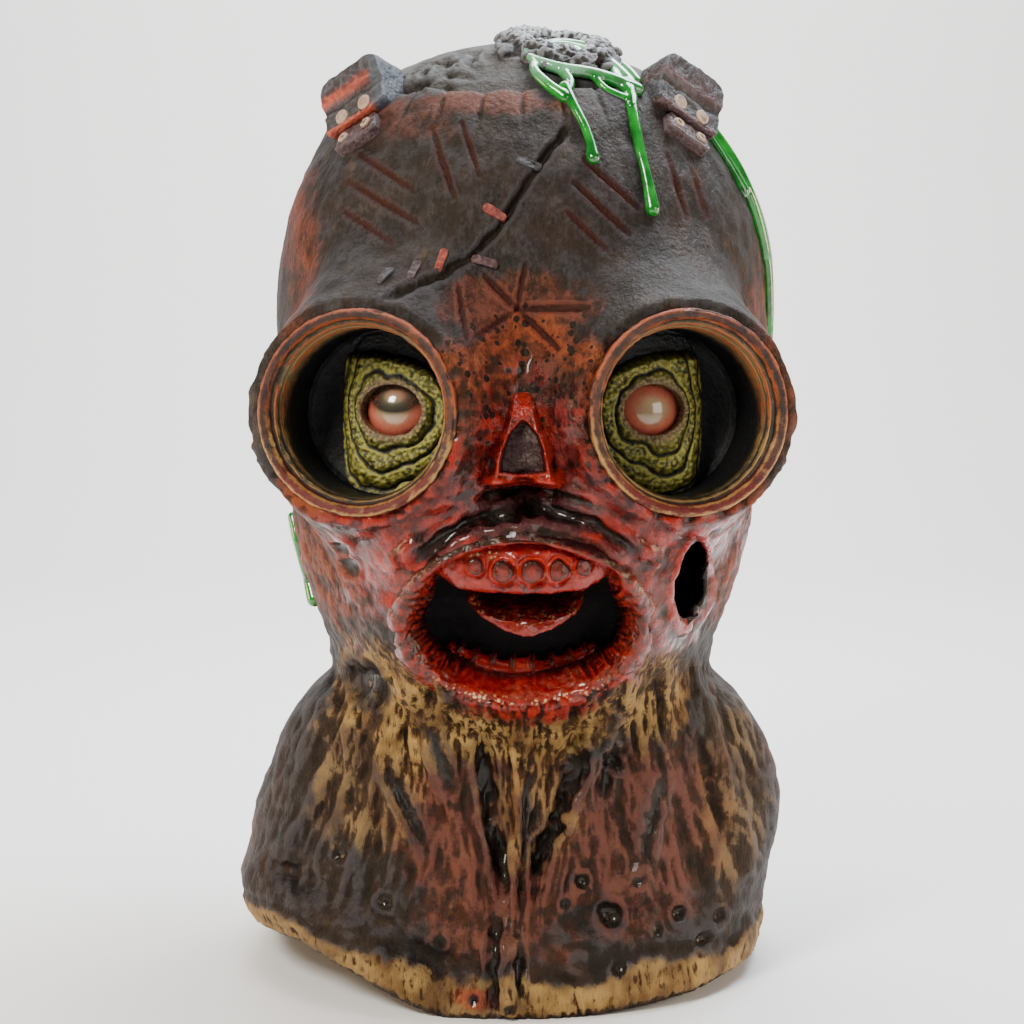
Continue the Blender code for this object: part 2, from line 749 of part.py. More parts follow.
def make_eyeball(side, name, material):
    """The front of an eyeball, flat behind, on the cup's floor."""
    low = math.asin(EYE_SUNK / EYE_RADIUS)
    rings = 5
    profile = []
    for i in range(rings):
        angle = low + (math.pi / 2 - low) * i / rings
        profile.append((EYE_RADIUS * math.cos(angle), EYE_RADIUS * math.sin(angle) - EYE_SUNK))
    thing = lathe(name, profile, EYE_SIDES, eye_frame(side), material)
    thing.data.vertices[-1].co.z = EYE_RADIUS - EYE_SUNK
    return thing


def lid_opening(angle):
    """From the eye's middle to the edge of the almond between the lids."""
    return 1.0 / math.hypot(math.cos(angle) / LID_HALF_WIDTH, math.sin(angle) / LID_HALF_HEIGHT)


def pad_reach(angle, side):
    """From the eye's middle to the lid pad's edge: the cup's wall, or its cut outer side."""
    floor = cup_taper(CUP_DEPTH) - CUP_WALL
    wall = (floor - SEAT_GAP) * math.cos(math.pi / CUP_SIDES) - SEAT_GAP
    eye = Vector((-side * EYE_TOWARDS_NOSE, EYE_ABOVE_AXIS))
    ahead = Vector((math.cos(angle), math.sin(angle)))
    half = eye.dot(ahead)
    reach = -half + math.sqrt(half * half - eye.length_squared + wall * wall)
    outward = side * ahead.x
    if reach * outward > LID_PAD_CUT:
        reach = LID_PAD_CUT / outward
    return reach


def make_lids(side, name, material):
    """The scaly pad on the cup's floor: ring folds round an almond, hollow over the eye."""
    clear = EYE_RADIUS + 2 * SEAT_GAP
    crest = EYE_RADIUS - EYE_SUNK + LID_THICKNESS - LID_PAD_EDGE
    rings = [[] for _ in range(len(LID_FOLD_ROWS) + 4)]
    for i in range(LID_COLUMNS):
        angle = 2 * math.pi * i / LID_COLUMNS
        inside = lid_opening(angle)
        outside = pad_reach(angle, side)
        section = [(outside, 0.0), (clear, 0.0)]
        for reach in (inside + LID_HOLLOW * (clear - inside), inside):
            section.append((reach, math.sqrt(clear**2 - reach**2) - EYE_SUNK))
        for share, lift in LID_FOLD_ROWS:
            reach = inside + (outside - inside) * share
            section.append((reach, LID_PAD_EDGE + crest * lift))
        for ring, (reach, height) in zip(rings, section):
            ring.append((reach * math.cos(angle), reach * math.sin(angle), height))
    points = [p for ring in rings for p in ring]
    faces = []
    for level in range(len(rings)):
        upper = (level + 1) % len(rings)
        faces += ring_faces(level * LID_COLUMNS, upper * LID_COLUMNS, LID_COLUMNS)
    thing = add_object(name, points, faces, material)
    thing.matrix_world = eye_frame(side)
    return thing


def lip_point(angle, outset=0.0):
    """A point of the lips' middle line in the front view, moved outwards by an outset."""
    outward = Vector((MOUTH_HALF_HEIGHT * math.cos(angle), MOUTH_HALF_WIDTH * math.sin(angle)))
    outward.normalize()
    x = MOUTH_HALF_WIDTH * math.cos(angle) + outward.x * outset
    z = MOUTH_HEIGHT + MOUTH_HALF_HEIGHT * math.sin(angle) + outward.y * outset
    return x, z


def lip_depth(angle):
    """Y of the lips' middle line: they stand a little proud of the hood."""
    x, z = lip_point(angle, LIP_HALF_THICKNESS)
    return face_depth(x, z) + LIP_HALF_DEPTH - LIP_PROUD


def make_lips(name, material):
    """The wet ring of lips, an oval section carried round an oval."""
    points = []
    for i in range(LIP_COLUMNS):
        angle = 2 * math.pi * i / LIP_COLUMNS
        middle = lip_depth(angle)
        for k in range(LIP_SIDES):
            turn = 2 * math.pi * k / LIP_SIDES
            x, z = lip_point(angle, LIP_HALF_THICKNESS * math.cos(turn))
            points.append((x, middle - LIP_HALF_DEPTH * math.sin(turn), z))
    faces = []
    for i in range(LIP_COLUMNS):
        faces += ring_faces(i * LIP_SIDES, (i + 1) % LIP_COLUMNS * LIP_SIDES, LIP_SIDES)
    return add_object(name, points, faces, material)


def make_mouth_cutter():
    """An oval plug that clears the lips through the hood's wall."""
    turns = [2 * math.pi * i / LIP_COLUMNS for i in range(LIP_COLUMNS)]
    edge = [lip_point(angle, LIP_HALF_THICKNESS + SEAT_GAP) for angle in turns]
    front, back = -FACE_DEPTH - CUP_RADIUS, -FACE_DEPTH / 2
    rings = [[(x, y, z) for x, z in edge] for y in (front, back)]
    middles = [(0.0, y, MOUTH_HEIGHT) for y in (front, back)]
    return stack("mouth_cutter", rings, *middles, None)


def bowl_point(angle, lean, inset):
    """A point on the bowl behind the lips; lean runs from its rim to its bottom."""
    back = lip_depth(angle) * math.cos(lean) ** 2 + lip_depth(math.pi / 2) * math.sin(lean) ** 2
    back += LIP_HALF_DEPTH + SEAT_GAP
    x = (MOUTH_HALF_WIDTH - inset) * math.cos(lean) * math.cos(angle)
    z = (MOUTH_HALF_HEIGHT - inset) * math.cos(lean) * math.sin(angle)
    return Vector((x, back + (BOWL_DEPTH - inset) * math.sin(lean), MOUTH_HEIGHT + z))


def bowl_rings(inset):
    """Rings of points from the bowl's rim to near its bottom, and the bottom point."""
    levels = [0.5 * math.pi * i / BOWL_LEVELS for i in range(BOWL_LEVELS)]
    turns = [2 * math.pi * i / BOWL_COLUMNS for i in range(BOWL_COLUMNS)]
    rings = [[bowl_point(angle, lean, inset) for angle in turns] for lean in levels]
    return rings, bowl_point(math.pi / 2, math.pi / 2, inset)


def make_bowl(name, material):
    """The dark bowl behind the lips, of an even wall."""
    outer, outer_bottom = bowl_rings(0.0)
    inner, inner_bottom = bowl_rings(BOWL_WALL)
    return stack(name, outer[::-1] + inner, outer_bottom, inner_bottom, material)


def make_bowl_room():
    """What is inside the bowl, clear of its wall, and ahead of it through the lips."""
    rings, bottom = bowl_rings(BOWL_WALL + SEAT_GAP)
    ahead = [p + Vector((0.0, -LIP_HALF_DEPTH, 0.0)) for p in rings[0]]
    front = Vector((0.0, ahead[0].y - LIP_HALF_DEPTH, MOUTH_HEIGHT))
    return stack("bowl_room", [ahead, *rings], front, bottom, None)


def make_gum(name, middle, spread, lean, half_width, half_height, material):
    """A rod of gum along the bowl's wall, between two bearings in degrees, and its path."""
    centres, inwards, taper = [], [], []
    for i in range(GUM_STATIONS):
        along = 2 * i / (GUM_STATIONS - 1) - 1
        angle = math.radians(middle + spread * along)
        wall = bowl_point(angle, lean, BOWL_WALL)
        centre = bowl_point(angle, lean, BOWL_WALL + GUM_SEAT * half_height)
        centres.append(centre)
        inwards.append((centre - wall).normalized())
        taper.append(1.0 - GUM_TAPER * abs(along) ** 3)
    widths = [half_width * t for t in taper]
    heights = [half_height * t for t in taper]
    gum = swept(name, centres, inwards, widths, heights, GUM_SIDES, material)
    return gum, centres, inwards


def make_upper_gum(material, room):
    """The upper gum: a bar under the lips with a row of empty tooth sockets."""
    half_height = UPPER_GUM_HALF_HEIGHT
    half_span = MOUTH_HALF_WIDTH - BOWL_WALL - half_height
    gum, _, _ = make_gum(
        "upper_gum",
        90,
        UPPER_GUM_SPREAD,
        UPPER_GUM_LEAN,
        UPPER_GUM_HALF_DEPTH,
        half_height,
        material,
    )
    combine(gum, room, "INTERSECT")
    for i in range(SOCKET_COUNT):
        place = i - (SOCKET_COUNT - 1) / 2
        radius = SOCKET_RADIUS * (1.0 - SOCKET_SHRINK * abs(place))
        angle = math.pi / 2 - place * SOCKET_SPACING / half_span
        middle = bowl_point(angle, UPPER_GUM_LEAN, BOWL_WALL + GUM_SEAT * half_height)
        front = middle + Vector((0.0, -UPPER_GUM_HALF_DEPTH, 0.0))
        profile = ((0.72 * radius, -0.8 * radius), (radius, 0.0), (radius, radius))
        frame = looking_along(front, (0.0, -1.0, -SOCKET_DROP))
        combine(gum, lathe(f"socket_cutter_{i + 1}", profile, SOCKET_SIDES, frame, None))


def make_lower_gum(material, room):
    """The lower gum: a horseshoe in the bowl with a row of stub teeth."""
    radius = LOWER_GUM_RADIUS
    gum, centres, inwards = make_gum(
        "lower_gum", 270, LOWER_GUM_SPREAD, LOWER_GUM_LEAN, radius, radius, material
    )
    for i in range(TOOTH_COUNT):
        at = 1 + (len(centres) - 3) * i / (TOOTH_COUNT - 1)
        low, share = int(at), at - int(at)
        place = centres[low].lerp(centres[min(low + 1, len(centres) - 1)], share)
        tip = radius + TOOTH_RISE * (1.0 if i % 2 else TOOTH_SHORT)
        profile = ((TOOTH_RADIUS, 0.0), (TOOTH_TIP * TOOTH_RADIUS, tip))
        frame = looking_along(place, inwards[low], (0.0, -1.0, 0.0))
        combine(gum, lathe(f"tooth_{i + 1}", profile, TOOTH_SIDES, frame, None), "UNION")
    combine(gum, room, "INTERSECT")


def make_tongue(material, room):
    """A spoon-shaped tongue that leans back in the bowl, hollowed along its top."""
    columns, rows = TONGUE_COLUMNS, TONGUE_ROWS
    back = bowl_point(math.pi / 2, math.pi / 2, BOWL_WALL).y
    top, bottom = [], []
    for row in range(rows):
        along = row / (rows - 1)
        taper = max(0.0, along - TONGUE_TAPER_START) / (1.0 - TONGUE_TAPER_START)
        spread = math.sqrt(max(1.0 - taper**4, TONGUE_TIP))
        hollowed = TONGUE_HOLLOW * (TONGUE_ROOT_HOLLOW + (1.0 - TONGUE_ROOT_HOLLOW) * along)
        for column in range(columns):
            side = 2 * column / (columns - 1) - 1
            x = TONGUE_HALF_WIDTH * spread * side
            y = back - TONGUE_LENGTH * along * (1.0 - TONGUE_TIP_ROUND * side * side)
            drop = TONGUE_DROP * along * along
            height = TONGUE_HEIGHT - drop - hollowed * (1.0 - side * side)
            middle = (1.0 - TONGUE_EDGE) * math.cos(side * math.pi / 2)
            thick = TONGUE_THICKNESS * (TONGUE_EDGE + middle)
            top.append(Vector((x + TONGUE_SHIFT, y, height)))
            bottom.append(Vector((x + TONGUE_SHIFT, y + 0.5 * thick * along, height - thick)))
    faces = []
    size = rows * columns
    for start in (0, size):
        for row in range(rows - 1):
            for column in range(columns - 1):
                a = start + row * columns + column
                faces.append((a, a + 1, a + 1 + columns, a + columns))
    edge = list(range(columns))
    edge += [r * columns + columns - 1 for r in range(1, rows)]
    edge += [(rows - 1) * columns + c for c in range(columns - 2, -1, -1)]
    edge += [r * columns for r in range(rows - 2, 0, -1)]
    for a, b in zip(edge, edge[1:] + edge[:1]):
        faces.append((a, b, b + size, a + size))
    tongue = add_object("tongue", top + bottom, faces, material)
    combine(tongue, room, "INTERSECT")


def nose_front(share):
    """Y of the nose's front at a share of its height down from the apex."""
    z = NOSE_TOP - NOSE_HEIGHT * share
    return face_depth(0.0, z) - NOSE_PROUD * (NOSE_APEX_PROUD + (1.0 - NOSE_APEX_PROUD) * share)


def make_nose(material, seat):
    """A cut nose: a wedge from a small apex to a wide base, with an arched hollow."""
    rings = []
    for level in range(NOSE_LEVELS):
        share = level / (NOSE_LEVELS - 1)
        z = NOSE_TOP - NOSE_HEIGHT * share
        half = NOSE_HALF_WIDTH * (NOSE_APEX_WIDTH + (1.0 - NOSE_APEX_WIDTH) * share)
        middle = face_depth(0.0, z)
        ring = []
        for i in range(NOSE_SIDES):
            turn = 2 * math.pi * (i + 0.5) / NOSE_SIDES
            depth = nose_front(share) if math.sin(turn) > 0 else middle + NOSE_PROUD
            reach = abs(math.sin(turn)) ** NOSE_SQUARE
            ring.append((half * math.cos(turn), middle + (depth - middle) * reach, z))
        rings.append(ring)
    base = NOSE_TOP - NOSE_HEIGHT
    top = (0.0, face_depth(0.0, NOSE_TOP), NOSE_TOP + NOSE_RIM)
    bottom = (0.0, face_depth(0.0, base), base - NOSE_RIM)
    nose = stack("nose", rings, top, bottom, material)
    combine(nose, make_nose_cutter())
    combine(nose, seat)


def make_nose_cutter():
    """The arched hollow in the nose, open to the front."""
    half = NOSE_HALF_WIDTH - 2 * NOSE_RIM
    foot = NOSE_TOP - NOSE_HEIGHT + NOSE_RIM
    shoulder = foot + half
    edge = [(half, foot), (-half, foot)]
    for i in range(NOSE_ARCH_STEPS + 1):
        turn = math.pi - math.pi * i / NOSE_ARCH_STEPS
        edge.append((half * math.cos(turn), shoulder + half * math.sin(turn)))
    rings = []
    for deep in (-NOSE_PROUD, NOSE_RECESS):
        ring = []
        for x, z in edge:
            ring.append((x, nose_front((NOSE_TOP - z) / NOSE_HEIGHT) + deep, z))
        rings.append(ring)
    ends = [(0.0, ring[0][1], shoulder) for ring in rings]
    return stack("nose_cutter", rings, *ends, None)


def make_tab(side, suffix, paints, seat):
    """A strap tab with its top edge flared out, its foot, two rivets and two eyelets."""
    place = seat_frame(side * TAB_BEARING, TAB_HEIGHT, seat, -side * TAB_TURN)
    lift = Matrix.Translation((0.0, 0.0, TAB_LIFT))
    frame = place @ lift @ Matrix.Rotation(TAB_FLARE, 4, "X")
    outline = rounded_outline(TAB_WIDTH / 2, TAB_LENGTH / 2, TAB_CORNER)
    tab = slab("strap_tab_" + suffix, outline, -TAB_SEAT, TAB_THICKNESS, frame, paints["tab"])
    combine(tab, seat)
    edge = frame @ Vector((0.0, -TAB_LENGTH / 2, TAB_THICKNESS))
    drop = (place.inverted() @ edge).y - SEAT_GAP - TAB_FOOT_LENGTH / 2
    foot_frame = place @ Matrix.Translation((0.0, drop, TAB_FOOT_RISE))
    outline = rounded_outline(TAB_FOOT_WIDTH / 2, TAB_FOOT_LENGTH / 2, TAB_CORNER)
    foot = slab("tab_foot_" + suffix, outline, -TAB_SEAT, 0.0, foot_frame, paints["foot"])
    combine(foot, seat)
    for number, across in ((1, -0.5), (2, 0.5)):
        x = across * RIVET_SPACING
        on_tab = frame @ Matrix.Translation((x, RIVET_INSET - TAB_LENGTH / 2, TAB_THICKNESS))
        rivet = [
            (RIVET_RADIUS * share, SEAT_GAP + RIVET_RISE * lift_share)
            for share, lift_share in RIVET_SECTION_ROWS
        ]
        lathe(f"rivet_{suffix}_{number}", rivet, RIVET_SIDES, on_tab, paints["rivet"])
        on_foot = foot_frame @ Matrix.Translation((x, 0.0, 0.0))
        eyelet = (
            (EYELET_RADIUS, SEAT_GAP),
            (EYELET_RADIUS, SEAT_GAP + (1.0 - EYELET_ROUND) * EYELET_RISE),
            (EYELET_RADIUS - EYELET_ROUND * EYELET_RISE, SEAT_GAP + EYELET_RISE),
            (EYELET_BORE, SEAT_GAP + EYELET_RISE),
            (EYELET_BORE, 1.5 * SEAT_GAP),
        )
        lathe(f"eyelet_{suffix}_{number}", eyelet, RIVET_SIDES, on_foot, paints["rivet"])


def make_staples(material, seat):
    """Short bars of hide across the forehead seam."""
    outline = rounded_outline(STAPLE_LENGTH / 2, STAPLE_WIDTH / 2, STAPLE_WIDTH / 3)
    for number, (across, up, turn) in enumerate(STAPLE_ROWS, start=1):
        x, z = across * HEAD_WIDTH, up * MASK_HEIGHT
        frame = seat_frame(face_bearing(x, z), z, seat, math.radians(turn))
        staple = slab(
            f"staple_{number}", outline, -STAPLE_WIDTH, STAPLE_RISE, frame, material
        )
        combine(staple, seat)


def crown_height(radius, bearing):
    """Z of the hood's crown at a distance from the upright axis."""
    z = np.linspace(CROWN_START * MASK_HEIGHT, MASK_HEIGHT, CROWN_PROBES)
    reach = hood_radius(np.full_like(z, bearing), z)
    return float(np.interp(-radius, -reach, z))


def crown_point(reach, turn, rise):
    """A point over the crown, by distance and turn from the middle of the torn ring."""
    x = CRUST_ACROSS + reach * math.cos(turn)
    y = -CRUST_FORWARD + reach * math.sin(turn)
    z = crown_height(math.hypot(x, y), math.atan2(x, -y))
    return Vector((x, y, z + rise))


def lumps(turn, beat):
    """An uneven share near 1 that runs round a ring."""
    return 1.0 + sum(
        share * math.sin(waves * turn + shifts * beat) for waves, share, shifts in LUMP_ROWS
    )


def make_crust(material, seat):
    """The torn, lumpy ring of hide round the top of the crown."""
    columns = CRUST_COLUMNS
    rings = []
    for share, lift in CRUST_SECTION_ROWS:
        ring = []
        for i in range(columns):
            turn = 2 * math.pi * i / columns
            wide = CRUST_WIDTH * lumps(turn, CRUST_WIDTH_BEAT)
            rise = CRUST_RISE * lift * (lumps(turn, CRUST_RISE_BEAT) if lift > 0 else 1.0)
            ring.append(crown_point(CRUST_INNER + wide * share, turn, rise))
        rings.append(ring)
    points = [p for ring in rings for p in ring]
    faces = []
    for level in range(len(rings)):
        faces += ring_faces(level * columns, (level + 1) % len(rings) * columns, columns)
    crust = add_object("crown_crust", points, faces, material)
    combine(crust, seat)


def make_crown_slime(material, seat):
    """The pool of slime inside the torn ring."""
    rings = []
    for share, lift in POOL_SECTION_ROWS:
        ring = []
        for i in range(POOL_COLUMNS):
            turn = 2 * math.pi * i / POOL_COLUMNS
            reach = (CRUST_INNER - SEAT_GAP) * share
            rise = SLIME_RADIUS * lift * (lumps(turn, POOL_BEAT) if lift > 0 else 1.0)
            ring.append(crown_point(reach, turn, rise))
        rings.append(ring)
    low = crown_point(0.0, 0.0, -SLIME_RADIUS)
    high = crown_point(0.0, 0.0, SLIME_RADIUS)
    slime = stack("slime_crown", rings, low, high, material)
    combine(slime, seat)


def make_run(name, rows, material, seat):
    """A run of slime down the hood from rows of bearing, height and thickness."""
    path = smooth_path(rows, 2 * len(rows) + 1)
    frames = [seat_frame(bearing, z, seat) for bearing, z, _ in path]
    centres = [frame.translation for frame in frames]
    outwards = [frame.to_3x3().col[2] for frame in frames]
    wide = [SLIME_RADIUS * thick for _, _, thick in path]
    high = [RUN_FLATNESS * half for half in wide]
    run = swept(name, centres, outwards, wide, high, RUN_SIDES, material)
    combine(run, seat)


def make_slime(material, seat):
    """The runs of slime down the forehead, the head's side and the cheek."""
    for name, rows in (("slime_drip_left", DRIP_LEFT_ROWS), ("slime_drip_right", DRIP_RIGHT_ROWS)):
        places = [(x * HEAD_WIDTH, z * MASK_HEIGHT, thick) for x, z, thick in rows]
        made = [(face_bearing(x, z), z, thick) for x, z, thick in places]
        make_run(name, made, material, seat)
    for name, rows in (("slime_side", SIDE_RUN_ROWS), ("slime_cheek", CHEEK_RUN_ROWS)):
        made = [(math.radians(turn), z * MASK_HEIGHT, thick) for turn, z, thick in rows]
        make_run(name, made, material, seat)


def make_gash_cutter(seat):
    """The slit through the right cheek."""
    x, z = GASH_ACROSS * HEAD_WIDTH, GASH_UP * MASK_HEIGHT
    frame = seat_frame(face_bearing(x, z), z, seat, GASH_TURN)
    outline = []
    for i in range(GASH_CORNERS):
        turn = 2 * math.pi * i / GASH_CORNERS
        across = GASH_HALF_WIDTH * (1.0 - GASH_TEAR * math.sin(turn)) * math.cos(turn)
        outline.append((across, GASH_HALF_HEIGHT * math.sin(turn)))
    return slab("gash_cutter", outline, -3 * LATEX_WALL, 3 * LATEX_WALL, frame, None)


def centre_footprint():
    """Moves everything so that the origin is under the middle of the finished part."""
    bpy.context.view_layer.update()
    depsgraph = bpy.context.evaluated_depsgraph_get()
    places = []
    for thing in bpy.data.objects:
        if not thing.hide_render:
            mesh = thing.evaluated_get(depsgraph).data
            places += [thing.matrix_world @ vertex.co for vertex in mesh.vertices]
    across = [place.x for place in places]
    along = [place.y for place in places]
    for thing in bpy.data.objects:
        thing.location.x -= (min(across) + max(across)) / 2
        thing.location.y -= (min(along) + max(along)) / 2


def main():
    for thing in list(bpy.data.objects):
        bpy.data.objects.remove(thing, do_unlink=True)
    latex = paint("painted_latex", (0.075, 0.055, 0.045), 0.55)
    brass = paint("aged_rim", (0.42, 0.20, 0.08), 0.45, 0.3)
    scale = paint("scaly_skin", (0.42, 0.36, 0.07), 0.5)
    eye = paint("wet_eye", (0.86, 0.66, 0.60), 0.08)
    flesh = paint("raw_flesh", (0.42, 0.02, 0.015), 0.25)
    gum = paint("gum", (0.50, 0.05, 0.04), 0.22)
    dark = paint("dark_throat", (0.02, 0.01, 0.01), 0.5)
    crust = paint("torn_hide", (0.09, 0.075, 0.06), 0.6)
    slime = paint("slime", (0.10, 0.62, 0.06), 0.06)
    paints = {
        "tab": paint("strap_leather", (0.16, 0.06, 0.03), 0.5),
        "foot": paint("strap_foot", (0.045, 0.035, 0.03), 0.5),
        "rivet": paint("worn_rivet", (0.45, 0.30, 0.17), 0.45, 0.4),
    }

    seat = make_seat_cutter()
    hood = make_hood(latex)
    for side, suffix in ((-1, "left"), (1, "right")):
        make_cup(side, "goggle_" + suffix, brass)
        combine(hood, make_cup_cutter(side, "cup_cutter_" + suffix))
        make_eyeball(side, "eyeball_" + suffix, eye)
        make_lids(side, "eye_skin_" + suffix, scale)
        make_tab(side, suffix, paints, seat)
    combine(hood, make_mouth_cutter())
    combine(hood, make_gash_cutter(seat))
    make_lips("lip_ring", flesh)
    make_bowl("mouth_cup", dark)
    room = make_bowl_room()
    make_upper_gum(gum, room)
    make_lower_gum(gum, room)
    make_tongue(flesh, room)
    make_nose(flesh, seat)
    make_crust(crust, seat)
    make_staples(paints["foot"], seat)
    make_crown_slime(slime, seat)
    make_slime(slime, seat)
    centre_footprint()


main()
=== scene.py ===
# %% [markdown]
# # Dressing an overhead monster mask
#
# The mask is a thick latex hood that has been cast in a mould, painted nearly black, and then
# brushed with colours over its raised places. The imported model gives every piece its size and
# place. This script loads it, models the fine surface of each piece over it, and paints it.

# %% Load the model
import json
import math

import bpy
import numpy as np
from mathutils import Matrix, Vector

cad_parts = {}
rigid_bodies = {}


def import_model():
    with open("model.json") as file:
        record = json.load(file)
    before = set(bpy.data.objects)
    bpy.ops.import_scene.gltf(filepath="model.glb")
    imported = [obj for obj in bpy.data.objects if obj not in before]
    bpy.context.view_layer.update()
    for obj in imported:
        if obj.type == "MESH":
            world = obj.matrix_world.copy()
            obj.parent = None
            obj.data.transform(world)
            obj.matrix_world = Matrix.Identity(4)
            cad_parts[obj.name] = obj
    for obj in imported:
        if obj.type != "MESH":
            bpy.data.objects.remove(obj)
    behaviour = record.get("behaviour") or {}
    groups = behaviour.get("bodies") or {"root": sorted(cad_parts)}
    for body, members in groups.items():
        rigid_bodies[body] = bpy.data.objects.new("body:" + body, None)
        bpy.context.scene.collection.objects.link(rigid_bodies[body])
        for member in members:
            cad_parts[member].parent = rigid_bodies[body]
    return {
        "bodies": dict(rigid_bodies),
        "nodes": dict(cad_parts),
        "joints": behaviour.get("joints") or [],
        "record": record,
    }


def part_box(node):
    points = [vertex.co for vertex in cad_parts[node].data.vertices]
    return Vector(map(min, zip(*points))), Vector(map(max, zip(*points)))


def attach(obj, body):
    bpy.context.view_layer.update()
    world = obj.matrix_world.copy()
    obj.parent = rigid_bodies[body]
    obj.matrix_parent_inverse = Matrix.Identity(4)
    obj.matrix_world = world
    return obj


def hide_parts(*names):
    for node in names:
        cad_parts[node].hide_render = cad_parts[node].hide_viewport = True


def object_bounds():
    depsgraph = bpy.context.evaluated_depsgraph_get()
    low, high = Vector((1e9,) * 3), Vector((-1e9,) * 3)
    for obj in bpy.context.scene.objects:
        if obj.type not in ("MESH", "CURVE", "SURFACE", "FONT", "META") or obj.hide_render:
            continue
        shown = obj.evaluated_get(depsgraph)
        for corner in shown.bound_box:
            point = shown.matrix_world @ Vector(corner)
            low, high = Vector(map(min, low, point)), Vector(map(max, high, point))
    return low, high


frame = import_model()
CAD_BOX = [list(corner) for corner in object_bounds()]
bpy.ops.object.select_all(action="DESELECT")
print("nodes:", len(frame["nodes"]), "box:", CAD_BOX)

# %% [markdown]
# ## Sizes that everything shares
#
# All pieces are placed from the upright axis of the head, which stands a little off the origin,
# because the origin is the middle of the footprint. The widths and depths of the hood are
# shares of the sizes below, one row for each level section.

# %% Sizes of the hood
MM = 0.001
HEAD_AXIS = np.array([0.0048, 0.0072, 0.0])
MASK_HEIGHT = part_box("hood")[1][2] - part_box("hood")[0][2]
HEAD_WIDTH, FACE_DEPTH, BACK_DEPTH = 0.212, 0.116, 0.122
LATEX_WALL = 0.003
CUP_RADIUS, CUP_DEPTH = 0.0402, 0.046
CUP_SPACING, CUP_HEIGHT, CUP_FRONT, CUP_PROUD = 0.129, 0.252, 0.127, 0.003
CUP_TURN, CUP_TILT = math.radians(14), math.radians(4)
HILL_BORDER, HILL_SLOPE, HILL_BLEND = 0.0038, 1.7, 0.026
MOUTH_HALF_WIDTH, MOUTH_HALF_HEIGHT, MOUTH_HEIGHT = 0.0455, 0.0315, 0.167
LIP_HALF, LIP_HALF_DEPTH, LIP_PROUD, MUZZLE_BULGE = 0.007, 0.0085, 0.006, 0.015
BOWL_DEPTH, BOWL_WALL = 0.034, 0.0022
print("mask height:", round(MASK_HEIGHT, 4))

# Columns: height, half width, depth in front, depth behind, fullness, slump towards +X.
SECTION_ROWS = (
    (0.000, 1.040, 0.860, 0.860, 2.30, -0.030), (0.030, 1.085, 0.835, 0.865, 2.30, -0.038),
    (0.075, 1.105, 0.770, 0.850, 2.30, -0.036), (0.125, 1.105, 0.700, 0.820, 2.25, -0.020),
    (0.180, 1.095, 0.650, 0.790, 2.20, -0.004), (0.230, 1.045, 0.640, 0.740, 2.20, 0.000),
    (0.284, 0.920, 0.680, 0.685, 2.20, 0.000), (0.321, 0.790, 0.740, 0.665, 2.15, 0.000),
    (0.354, 0.800, 0.820, 0.690, 2.15, 0.000), (0.396, 0.850, 0.900, 0.735, 2.15, 0.000),
    (0.438, 0.900, 0.950, 0.780, 2.15, 0.000), (0.490, 0.940, 0.985, 0.845, 2.15, 0.000),
    (0.557, 0.965, 1.000, 0.920, 2.15, 0.000), (0.630, 0.988, 0.990, 0.975, 2.15, 0.000),
    (0.705, 1.000, 0.960, 1.000, 2.15, 0.000), (0.772, 0.985, 0.925, 1.000, 2.15, 0.000),
    (0.832, 0.925, 0.865, 0.965, 2.12, 0.000), (0.881, 0.832, 0.785, 0.893, 2.10, 0.000),
    (0.921, 0.728, 0.690, 0.787, 2.08, 0.000), (0.955, 0.592, 0.570, 0.640, 2.05, 0.000),
    (0.980, 0.418, 0.410, 0.450, 2.02, 0.000), (0.995, 0.205, 0.205, 0.220, 2.00, 0.000),
    (1.000, 0.000, 0.000, 0.000, 2.00, 0.000),
)
# Columns: bearing in degrees, lift of the rim as a share of MASK_HEIGHT.
RIM_ROWS = (
    (-180, 0), (-118, 0), (-95, 0.022), (-74, 0.046), (-52, 0.054), (-36, 0.034), (-22, 0.010),
    (-14, 0), (12, 0), (32, 0.006), (55, 0.012), (80, 0.014), (100, 0.008), (122, 0), (180, 0),
)
# Columns: start x and z, end x and z, half width, rise in walls of latex.
FOLD_ROWS = (
    (-0.150, 0.512, 0.000, 0.545, 0.050, -2.0), (0.000, 0.545, 0.160, 0.512, 0.050, -2.0),
    (-0.080, 0.545, -0.215, 0.480, 0.036, 1.1), (0.085, 0.545, 0.230, 0.480, 0.036, 1.2),
    (-0.200, 0.330, -0.030, 0.060, 0.048, 1.6), (0.190, 0.330, 0.020, 0.070, 0.050, 1.5),
    (-0.080, 0.285, -0.020, 0.130, 0.034, -1.6), (0.105, 0.285, 0.035, 0.130, 0.034, -1.6),
    (0.000, 0.290, 0.002, 0.010, 0.030, 1.0), (0.270, 0.330, 0.250, 0.110, 0.046, 1.2),
    (0.340, 0.320, 0.470, 0.120, 0.040, 1.0), (-0.290, 0.320, -0.215, 0.140, 0.046, 1.2),
    (-0.390, 0.310, -0.470, 0.130, 0.040, 0.9), (-0.460, 0.110, -0.120, 0.045, 0.050, -1.3),
    (0.140, 0.095, 0.420, 0.085, 0.046, -1.1),
)

# %% [markdown]
# ## Chance that is the same on every run
#
# Torn skin, bark and lumps come from noise. It could come from Blender's Displace modifier, but
# here the same noise also says where the paint lies, so it is worked out in numpy from a hash
# of whole numbers. That needs no seed to be set and never changes.

# %% Noise
def eased(share):
    """Smooth step from 0 to 1."""
    share = np.clip(share, 0.0, 1.0)
    return share * share * (3.0 - 2.0 * share)


